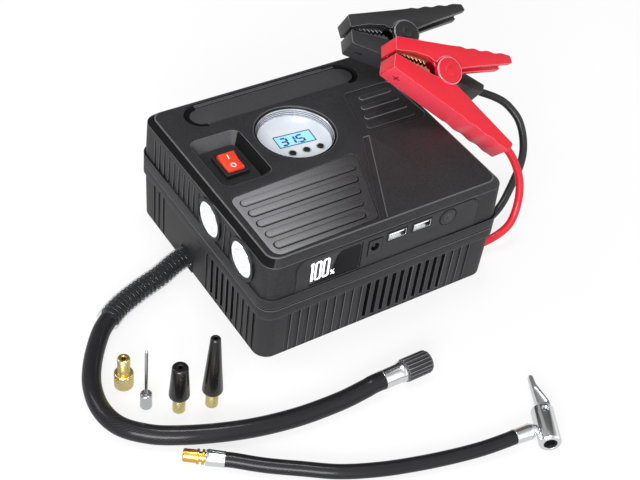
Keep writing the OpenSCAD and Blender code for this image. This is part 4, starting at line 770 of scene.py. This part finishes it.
class KIT_OT_ports(KitOperator, bpy.types.Operator):
    """Display window, sockets and power button on the port side"""
    bl_idname = "kit.ports"
    bl_label = "Ports"

    def execute(self, context):
        # the window is painted grey, a painted reflection, except under the dark sheet further down
        dress("display_window", moulded("Display window painted reflection", srgb(62, 62, 64), 0.3, 3, 0.002, 0.02, 0.15), 0.15)
        dark = moulded("Button plastic", srgb(36, 36, 38), 0.42, 0.7, 0.03)
        dress("power_button", dark, 0.35, 3)
        # painted shade inside the DC jack and on the inner walls of the USB shells
        inside = moulded("Painted socket shade", srgb(12, 12, 13), 0.6, 0.7, 0.01, spec=0.1)
        parted(dress("dc_jack", dark, 0.2), inside, lambda c, n: c.y > FRONT + 1)
        shells = dress("usb_shells", metal("Socket steel", srgb(226, 228, 232), 0.22, (8, 1, 8)), 0.12)
        xs, zs = ([v.co[k] / MM for v in shells.data.vertices] for k in (0, 2))
        split, height = (min(xs) + max(xs)) / 2, (min(zs) + max(zs)) / 2

        def hollow(c, n):
            middle = max(xs) - USB_L / 2 if c.x > split else min(xs) + USB_L / 2
            inward = n.x * (middle - c.x) + n.z * (height - c.z) > 0
            return c.y > FRONT + 0.25 and abs(n.y) < 0.9 and n.z < 0.5 and inward

        # the inner walls of the shells take the painted shade
        parted(shells, inside, hollow)
        # the tongues give off a little light, painted light
        tongue = Finish("Glowing socket tongue", srgb(240, 240, 236), roughness=0.4, emission_strength=0.35)
        speck = tongue.mix(tongue.noise(2 * MM), (0.8, 0.8, 0.78), (0.95, 0.95, 0.93))
        tongue.shine(speck)
        dress("usb_tongues", tongue, 0.15)
        light = Finish("Display light", (1, 1, 1), emission_color=(1, 1, 1, 1), emission_strength=1.0)
        light.set("Emission Color", light.mix(light.noise(3 * MM), (0.88, 0.9, 0.92), (1.0, 1.0, 1.0)))
        # two figures and a stroke on the display
        parts, y = [], FRONT + 0.1

        def bar(x0, x1, z0, z1):
            parts.append(block((x1 - x0, 0.16, z1 - z0), ((x0 + x1) / 2, y, (z0 + z1) / 2), round_by=0.05))

        low, high, wide, thick, step = 56.2, 71.2, 4.8, 1.35, 0.75
        bar(-57.6, -56.1, low, high)
        parts.append(block((1.9, 0.16, 1.3), (-57.9, y, 70), (0, radians(-35), 0), 0.05))
        for x in (-55.1, -49.5):
            for left in (x, x + wide - thick):
                bar(left, left + thick, low + 0.9, high - 0.9)
            for foot in (high - 1.3, low):
                bar(x + step, x + wide - step, foot, foot + 1.3)
        finished(joined(parts), "display_digits", light, "case", "face_white")
        # a dark sheet over the part of the window that the painted reflection leaves out
        shade = plate("display_unreflected_part", [(-57.4, 53.8), (-43.9, 56.4), (-39.8, 70.4), (-37.2, 73), (-24, 73),
                                        (-22.6, 71.6), (-22.6, 55.2), (-24, 53.8)], FRONT + 0.25, 0.08)
        finished(shade, "display_unreflected_part", moulded("Window without painted reflection", srgb(24, 24, 26), 0.2, 3, 0.002, 0.03, 0.08), "case",
                 "button_plastic")
        # small per cent sign
        dots = [ring(0.55, 0.22, at, UPRIGHT) for at in ((-43, y, 59.4), (-41.2, y, 57))]
        dots.append(block((0.45, 0.16, 4.2), (-42.1, y, 58.2), (0, radians(30), 0), 0.05))
        finished(joined(dots), "display_percent", light, "case", "face_white")
        # plain ring mark on the power button
        mark = moulded("Button mark", srgb(88, 88, 90), 0.4, 0.8, 0.02)
        circle = ring(2.5, 0.16, POWER - Vector((0, 0.3, 0)), UPRIGHT)
        # a near-black ring in the gap round the button, painted shade
        gap = ring(POWER_R + 0.15, 0.3, POWER - Vector((0, 0.02, 0)), UPRIGHT, around=56)
        finished(gap, "power_button_gap_shade", moulded("Button gap shade", srgb(8, 8, 9), 0.6, 0.8, 0.02, spec=0.1), "case",
                 "button_plastic")
        stem = block((0.45, 0.3, 2.6), POWER + Vector((0, -0.3, 2)), round_by=0.1)
        finished(joined([circle, stem]), "power_mark", mark, "power_key", "button_plastic")
        return {"FINISHED"}


class KIT_OT_switch(KitOperator, bpy.types.Operator):
    """Rocker switch with its bezel and marks"""
    bl_idname = "kit.switch"
    bl_label = "Switch"

    def execute(self, context):
        dress("switch_bezel", moulded("Bezel plastic", srgb(30, 30, 32), 0.3, 1.2, 0.02, spec=0.6), 0.4, 3)
        red = moulded("Rocker plastic", context.scene.kit_colours.switch, 0.22, 1.5, 0.01, 0.04, 0.6)
        dress("rocker_switch", red, 0.5, 3)
        mark = moulded("Rocker mark", srgb(250, 244, 240), 0.3, 1.0, 0.01)
        tilt = moved(SWITCH + Vector((0, 0, 0.6)), 8, "X")
        slope = atan(2 / 12)
        line = block((0.75, 3.2, 0.16), (0, 3.9, 4.05), (slope, 0, 0), 0.06)
        circle = ring(1.5, 0.34, (0, -3.4, 3.97), (-slope, 0, 0))
        circle.scale = (1, 1.15, 0.4)
        finished(joined([line, circle], tilt), "rocker_marks", mark, "rocker", "face_white")
        return {"FINISHED"}


class KIT_OT_gauge(KitOperator, bpy.types.Operator):
    """Pressure gauge: ring, face, display window and buttons"""
    bl_idname = "kit.gauge"
    bl_label = "Gauge"

    def execute(self, context):
        silver = metal("Gauge ring", srgb(222, 224, 228), 0.25)
        rim = moulded("Gauge rim plastic", srgb(20, 20, 22), 0.3, 0.8, 0.01)
        step = metal("Gauge ring groove", srgb(70, 72, 76), 0.4)
        # four steps of 1 mm up the inside, over the rim and back underneath
        profile = [(24.35 + k * 0.25, 74.3 + k * 1.25 + rise) for k in range(4) for rise in (0, 1)]
        profile += [(25.3, 79.25), (25.45, 79.9), (25.7, 79.9), (25.7, 77.8), (28.1, 77.8), (28.1, 76.2),
                    (25.7, 76.2), (25.7, 70.4), (22.75, 70.4), (22.75, 72.2), (24.35, 72.2)]
        collar = turned(profile, 96)
        collar.location = (GAUGE.x * MM, GAUGE.y * MM, 0)
        collar.data.materials.append(silver.material)
        parted(collar, rim, lambda c, n: c.z > 79.2)
        parted(collar, step, lambda c, n: 75 < c.z < 79.1 and n.z > 0.4)
        finished(collar, "gauge_ring_turned", [silver, rim, step], "case", SLOT["gauge_ring"], 25)
        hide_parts("gauge_ring")
        face = moulded("Gauge face", srgb(218, 224, 232), 0.32, 1.5, 0.01, 0.02)
        dress("gauge_face", face, 0.15)
        dark = moulded("Gauge button", srgb(24, 24, 26), 0.35, 0.8, 0.02)
        for side in ("left", "middle", "right"):
            dress("gauge_button_" + side, dark, 0.3, 3)
        window = Finish("Backlit window", context.scene.kit_colours.display, roughness=0.12, emission_strength=0.35)
        sheen = window.mix(window.noise(14 * MM), window.tint(0.85), window.tint(1.12))
        window.shine(sheen)
        coat("gauge_lcd", window)
        turn = moved((GAUGE.x, GAUGE.y, 0), -5, "Z")
        ink = moulded("Display ink", srgb(16, 42, 120), 0.4, 1.0, 0.01)
        wide, high, thick, z = 4.4, 6.8, 1.35, GAUGE.z - 0.07
        half, post = wide / 2, (thick, high / 2 - 0.35)
        strokes = {"f": (-half, high / 4, *post), "b": (half, high / 4, *post), "e": (-half, -high / 4, *post),
                   "c": (half, -high / 4, *post)}
        strokes.update((key, (0, up, wide - thick, thick)) for key, up in (("a", high / 2), ("g", 0), ("d", -high / 2)))
        digits = [block((sx, sy, 0.1), (x + dx + dy * 0.1, dy - 0.5, z), round_by=0.04)
                  for x, lit in ((-7.9, "abgcd"), (-2.5, "bc"), (4.0, "afgcd"))
                  for dx, dy, sx, sy in (strokes[key] for key in lit)]
        digits.append(block((0.8, 0.8, 0.1), (1.2, -3.6, z), round_by=0.04))
        finished(joined(digits, turn), "gauge_digits", ink, "case", "button_plastic")
        top = GAUGE.z + 0.04
        bars = [block((26.4, 0.6, 0.12), (0, side * 5.55, top)) for side in (1, -1)]
        bars += [block((0.6, 11.5, 0.12), (side * 12.95, 0, top)) for side in (1, -1)]
        finished(joined(bars, turn), "gauge_window_frame", ink, "case", "button_plastic")
        lip = moulded("Button collar", srgb(186, 189, 194), 0.35, 1.0, 0.01)
        rings = [ring(2.75, 0.34, (x, y, GAUGE.z + 0.05)) for x, y in BUTTONS]
        finished(joined(rings), "gauge_button_collars", lip, "case", "face_white")
        return {"FINISHED"}


class KIT_OT_lights(KitOperator, bpy.types.Operator):
    """Reflectors, lenses and chips of the two work lights"""
    bl_idname = "kit.lights"
    bl_label = "Lights"

    def execute(self, context):
        # the reflector gives off the chip's light as painted light, in bands, and turns grey towards its rim as painted
        # shade
        bowl = Finish("Lit reflector", srgb(200, 203, 208), metallic=0.9, roughness=0.16, emission_strength=1.0)
        x = bowl.split(bowl.at())[0]
        bands = 0.5 + 0.5 * bowl.math("SINE", x * (tau / 2.6 / MM) + bowl.noise(9 * MM) * 2)
        lit = bowl.ease(x, -79.5 * MM, -73.5 * MM) * (0.35 + 0.65 * bands)
        bowl.set("Emission Color", bowl.mix(bowl.clamp(lit), (0.4, 0.405, 0.41), (1.0, 1.0, 1.0)))
        dress("light_reflectors", bowl, 0.12)
        dress("light_lenses", clear("Lamp lens", (0.98, 0.99, 1.0), 0.06, 0.35), 0)
        chip = Finish("Lit chip", (1, 0.98, 0.92), emission_color=(1, 0.99, 0.95, 1), emission_strength=4.0)
        coat("light_emitters", chip)
        return {"FINISHED"}


class KIT_OT_hoses(KitOperator, bpy.types.Operator):
    """Air hose with its guard, sleeve, ferrule and nut, and the extension hose"""
    bl_idname = "kit.hoses"
    bl_label = "Hoses"

    def execute(self, context):
        c, s = context.scene.kit_colours, context.scene.kit_sizes
        path = smooth_route(HOSE)
        hose = strand("air_hose_braided", "air_hose", path, HOSE_D, 32,
                      braided("Braided hose rubber", c.rubber, 22, s.braid), "hose_rubber")
        # spring guard wound round the first stretch
        turns, steps, pitch, reach = 21, 20, 3.5 * MM, 6.25 * MM
        fine = smooth_route(HOSE, 24)
        frames, run = carried(fine), lengths(fine)
        coil, start, i = [], run[24] + 1.5 * MM, 0
        for k in range(turns * steps + 1):
            d = start + k * pitch / steps
            while run[i + 1] < d:
                i += 1
            f = (d - run[i]) / (run[i + 1] - run[i])
            a = tau * k / steps
            side, up = frames[i]
            coil.append(fine[i].lerp(fine[i + 1], f) + reach * (cos(a) * up + sin(a) * side))
        guard = strand("spring_guard_wire", "spring_guard", coil, GUARD_WIRE, 8,
                       metal("Guard steel", srgb(62, 64, 68), 0.12), "steel")
        skin = tube("hose_sleeve_clear", fine[16:169:4], SLEEVE_D / 2 * MM, 32, capped=False)
        modifier(skin, "SOLIDIFY", thickness=0.45 * MM, offset=-1)
        finished(skin, "hose_sleeve_clear", clear("Clear sleeve", srgb(150, 152, 156), 0.02, 0.8), "case",
                 "clear_plastic", 60)
        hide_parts("hose_sleeve")
        chrome = metal("Plated chrome", c.chrome, 0.12)
        ferrule = dress("hose_ferrule", chrome, 0.2, 3, 25)
        # the rounded edges of the nut's ribs are painted light grey, a painted highlight
        nut = dress("hose_nut", moulded("Nut plastic", srgb(34, 34, 36), 0.36, 0.8, 0.03, 0.2, 0.6), 0.3, 2, 30,
                    moulded("Nut rib edge highlight", srgb(122, 122, 124), 0.3, 0.8, 0.02))
        total(path)
        way = smooth_route(EXTENSION)
        ext = strand("extension_hose_braided", "extension_hose", way, EXT_D, 28,
                     braided("Braided extension rubber", c.rubber, 16, s.braid * 0.85, 0.18), "hose_rubber")
        ends = dress("extension_ferrules", chrome, 0.15, 2, 25)
        nipple = dress("extension_nipple", metal("Turned brass", srgb(248, 196, 96), 0.2), 0.2, 2, 30)
        body = dress("chuck_body", chrome, 0.25, 3, 30)
        lever = dress("chuck_lever", metal("Plated lever", srgb(240, 241, 243), 0.3), 0.25, 3, 30)
        pin = dress("chuck_pin", metal("Chuck pin", srgb(150, 152, 156), 0.3), 0.15)
        seal = dress("chuck_seal", moulded("Seal rubber", srgb(24, 24, 25), 0.7, 0.8, 0.03), 0.2)
        total(way)
        return {"FINISHED"}


class KIT_OT_nozzles(KitOperator, bpy.types.Operator):
    """Valve adapter, ball needle and the two cones"""
    bl_idname = "kit.nozzles"
    bl_label = "Nozzles"

    def execute(self, context):
        rgb, centre = context.scene.kit_colours.brass, Vector((-167.7, -57.2))
        brass = metal("Nozzle brass", rgb, 0.2)
        thread = ribbed("Threaded brass", rgb, 1.1 * MM, 0.22)
        knurl = ribbed("Knurled brass", rgb, 2.6 * MM, 0.3, centre * MM, 14)
        black = moulded("Cone plastic", srgb(14, 14, 15), 0.28, 0.9, 0.01, spec=0.4, coat_weight=0.45,
                        coat_roughness=0.08)
        adapter = dress("valve_adapter", brass, 0.25, 2, 30)
        parted(adapter, knurl, lambda c, n: 0.5 < c.z < 10.8 and abs(n.z) < 0.3)
        parted(adapter, thread, lambda c, n: c.z > 12.4 and abs(n.z) < 0.3 and (c.xy - centre).length > 3)
        dress("ball_needle", metal("Needle plate", srgb(205, 207, 211), 0.18), 0.15, 2, 30)
        dress("nozzle_cones", black, 0.3, 3, 30)
        dress("nozzle_threads", thread, 0.2, 2, 30)
        return {"FINISHED"}


class KIT_OT_clamps(KitOperator, bpy.types.Operator):
    """Red and black battery clamps on their cables"""
    bl_idname = "kit.clamps"
    bl_label = "Clamps"

    def execute(self, context):
        c, edge = context.scene.kit_colours, context.scene.kit_sizes.clamp_edge / MM
        jaw = {"red": metal("Pressed copper", c.copper, 0.26), "black": metal("Dark jaw steel", srgb(96, 97, 100), 0.3)}
        plastic, pieces = {}, {"red": [], "black": []}
        face = moved((33, -0.5, -13.25), -17, "Y")
        for name, rgb, mottle, edge_highlight_rgb, edge_highlight_mottle, sheen_rgb, mark_rgb in (
                ("red", c.red, 0.08, (255, 140, 150), 0.08, (226, 66, 82), (138, 14, 30)),
                ("black", c.black, 0.2, (140, 140, 144), 0.15, (58, 58, 60), (10, 10, 11))):
            title, rows, home = name.title(), pieces[name], CLAMP[name].to_3x3().inverted()
            plastic[name] = moulded(title + " clamp plastic", rgb, 0.3, 1.2, 0.02, mottle, 0.5)
            # the rounded edges of the arms are painted pale, a painted highlight
            edge_finish = moulded(title + " clamp edge highlight", srgb(*edge_highlight_rgb), 0.22, 1.2, 0.01, edge_highlight_mottle, 0.7)
            grip = moulded(title + " clamp painted sheen", srgb(*sheen_rgb), 0.34, 1.2, 0.02, mottle, 0.5)
            for arm in ("_lower_arm", "_upper_arm"):
                rows.append(dress(name + arm, plastic[name], edge, 3, 35, edge_finish))
            # the outer face of the lower arm is painted paler, a painted sheen
            parted(rows[0], grip, lambda c, n: (home @ n).z < -0.6)
            # a plus on the red clamp, a minus on the black one
            sizes = ((5.6, 0.9, 0.5), (0.9, 5.6, 0.5)) if name == "red" else ((5.6, 0.9, 0.5),)
            sign = joined([block(size, (0, 0, 0), round_by=0.15) for size in sizes], CLAMP[name] @ face)
            mark = moulded(title + " pole mark", srgb(*mark_rgb), 0.5, 1.2, 0.02)
            rows.append(finished(sign, name + "_pole_mark", mark, BODY[name + "_lower_arm"], "clamp_" + name))
            rows.append(dress(name + "_upper_jaw", jaw[name], 0.15, 1, 35))

        def near_black(c, n):
            return (c - CLAMP_AT["black"]).length < (c - CLAMP_AT["red"]).length

        parted(dress("lower_jaws", jaw["red"], 0.15, 1, 35), jaw["black"], near_black)
        caps = dress("pivot_pins", plastic["red"], 0.2, 2, 30)
        parted(caps, plastic["black"], near_black)
        pieces["red"].append(caps)
        coat("clamp_springs", metal("Spring steel", srgb(128, 130, 134), 0.35))
        for name, points, rgb in (("red", RED_CABLE, c.red), ("black", BLACK_CABLE, c.rubber)):
            path, rows = smooth_route(points), pieces[name]
            skin = moulded(name.title() + " cable rubber", rgb, 0.55, 1.0, 0.02, 0.08, 0.4, coat_weight=0.35,
                           coat_roughness=0.2)
            o = strand(name + "_cable_run", name + "_cable", path, CABLE_D, 20, skin, "cable_" + name)
            total(path)
        return {"FINISHED"}


class KIT_OT_stage(KitOperator, bpy.types.Operator):
    """Floor, lamps, world and camera"""
    bl_idname = "kit.stage"
    bl_label = "Stage"

    def execute(self, context):
        scene = context.scene
        scene.view_settings.view_transform = "Standard"
        # the floor lies just under the feet, white to the camera and a dull grey to the lamps
        bpy.ops.mesh.primitive_plane_add(size=8, location=(0, 0, -0.2 * MM))
        floor = context.object
        floor.name = "floor"
        f = Finish("Pale floor", (0.92, 0.92, 0.92), roughness=0.9)
        seen, mirrored, through = f.rays()
        glow = f.node("ShaderNodeEmission", Color=(1, 1, 1, 1), Strength=1 - mirrored * 0.3)
        away = f.node("ShaderNodeVectorMath", out=1, settings={"operation": "LENGTH"}, i0=f.at())
        share = f.clamp(seen * (0.8 + 0.2 * f.ease(away, 0.35, 0.8)) + mirrored + through * 0.6)
        mixed = f.node("ShaderNodeMixShader", i0=share, i1=Value(f, f.surface.outputs[0]), i2=glow)
        f.feed(f.tree.nodes["Material Output"].inputs[0], mixed)
        floor.data.materials.append(f.material)
        world = bpy.data.worlds.new("Studio")
        scene.world = world
        world.use_nodes = True
        w = Nodes(world.node_tree)
        way = w.node("ShaderNodeTexCoord", out=0)
        seen, mirrored, through = w.rays()
        # mirrors see a dark card behind and above the object, two narrow ones beside the camera and a dark rear
        behind = w.along(way, (0.46, 0.62, 0.63))
        card = 0.45 * w.ease(behind, 0.35, 0.8) + 0.5 * w.ease(behind, 0.84, 0.93)
        level = w.along(way, (0, 0, 1))
        side = w.along(way, (0.79, -0.61, 0))
        slats = w.ease(abs(side), 0.16, 0.34) * (1 - w.ease(abs(side), 0.5, 0.72)) * w.ease(level, -0.05, 0.08)
        rear = w.ease(w.along(way, (-0.8, 0.58, 0.05)), 0.45, 0.9)
        mirror = (1 - 0.95 * card) * (1 - 0.45 * slats) * (1 - 0.8 * rear)
        plain = w.math("MAXIMUM", seen, through)
        strength = plain + (1 - plain) * (mirrored * mirror * 1.15 + (1 - mirrored) * 0.5)
        for target, value in zip(w.tree.nodes["Background"].inputs, ((1, 1, 1, 1), strength)):
            w.feed(target, value)

        def lamp(name, at, size, power, aim=(0, -0.03, 0.04)):
            data = bpy.data.lights.new(name, "AREA")
            data.shape, data.size, data.size_y, data.energy = "RECTANGLE", *size, power
            o = added(name, data)
            o.location = at
            o.rotation_euler = (Vector(aim) - Vector(at)).to_track_quat("-Z", "Y").to_euler()

        lamp("Key", (-1.0, -1.1, 0.62), (0.9, 0.6), 26)
        lamp("Top", (0.05, 0.15, 1.4), (0.32, 0.32), 5)
        lamp("Back", (-0.9, 0.7, 0.9), (0.5, 0.5), 4)
        az, el, roll = map(radians, VIEW_TURN)
        back = Vector((sin(az) * cos(el), -cos(az) * cos(el), sin(el)))
        right = Vector((cos(az), sin(az), 0))
        upward = back.cross(right)
        x = cos(roll) * right + sin(roll) * upward
        y = -sin(roll) * right + cos(roll) * upward
        data = bpy.data.cameras.new("View")
        data.sensor_width, data.lens, data.clip_start, data.clip_end = 36, VIEW_LENS, 0.05, 20
        camera = added("View", data)
        turn = Matrix((x, y, back)).transposed().to_4x4()
        camera.matrix_world = Matrix.Translation((Vector(VIEW_AT) + back * VIEW_FAR) * MM) @ turn
        scene.camera = camera
        return {"FINISHED"}


OPERATORS = (KIT_OT_stage, KIT_OT_hoses, KIT_OT_case, KIT_OT_inside, KIT_OT_ports, KIT_OT_switch, KIT_OT_gauge,
             KIT_OT_lights, KIT_OT_nozzles, KIT_OT_clamps)


class KIT_PT_panel(bpy.types.Panel):
    bl_idname = "KIT_PT_panel"
    bl_label = "Jump Starter"
    bl_space_type = "VIEW_3D"
    bl_region_type = "UI"
    bl_category = "Jump Starter"

    def draw(self, context):
        for operator in OPERATORS:
            self.layout.operator(operator.bl_idname)
        for group in (context.scene.kit_colours, context.scene.kit_sizes):
            for key in group.__annotations__:
                self.layout.prop(group, key)


CLASSES = (KitColours, KitSizes, *OPERATORS, KIT_PT_panel)


def register():
    for c in CLASSES:
        bpy.utils.register_class(c)
    bpy.types.Scene.kit_colours = PointerProperty(type=KitColours)
    bpy.types.Scene.kit_sizes = PointerProperty(type=KitSizes)


def unregister():
    del bpy.types.Scene.kit_colours, bpy.types.Scene.kit_sizes
    for c in reversed(CLASSES):
        bpy.utils.unregister_class(c)


def main():
    register()
    for operator in OPERATORS:
        group, name = operator.bl_idname.split(".")
        getattr(getattr(bpy.ops, group), name)()


if __name__ == "__main__":
    main()
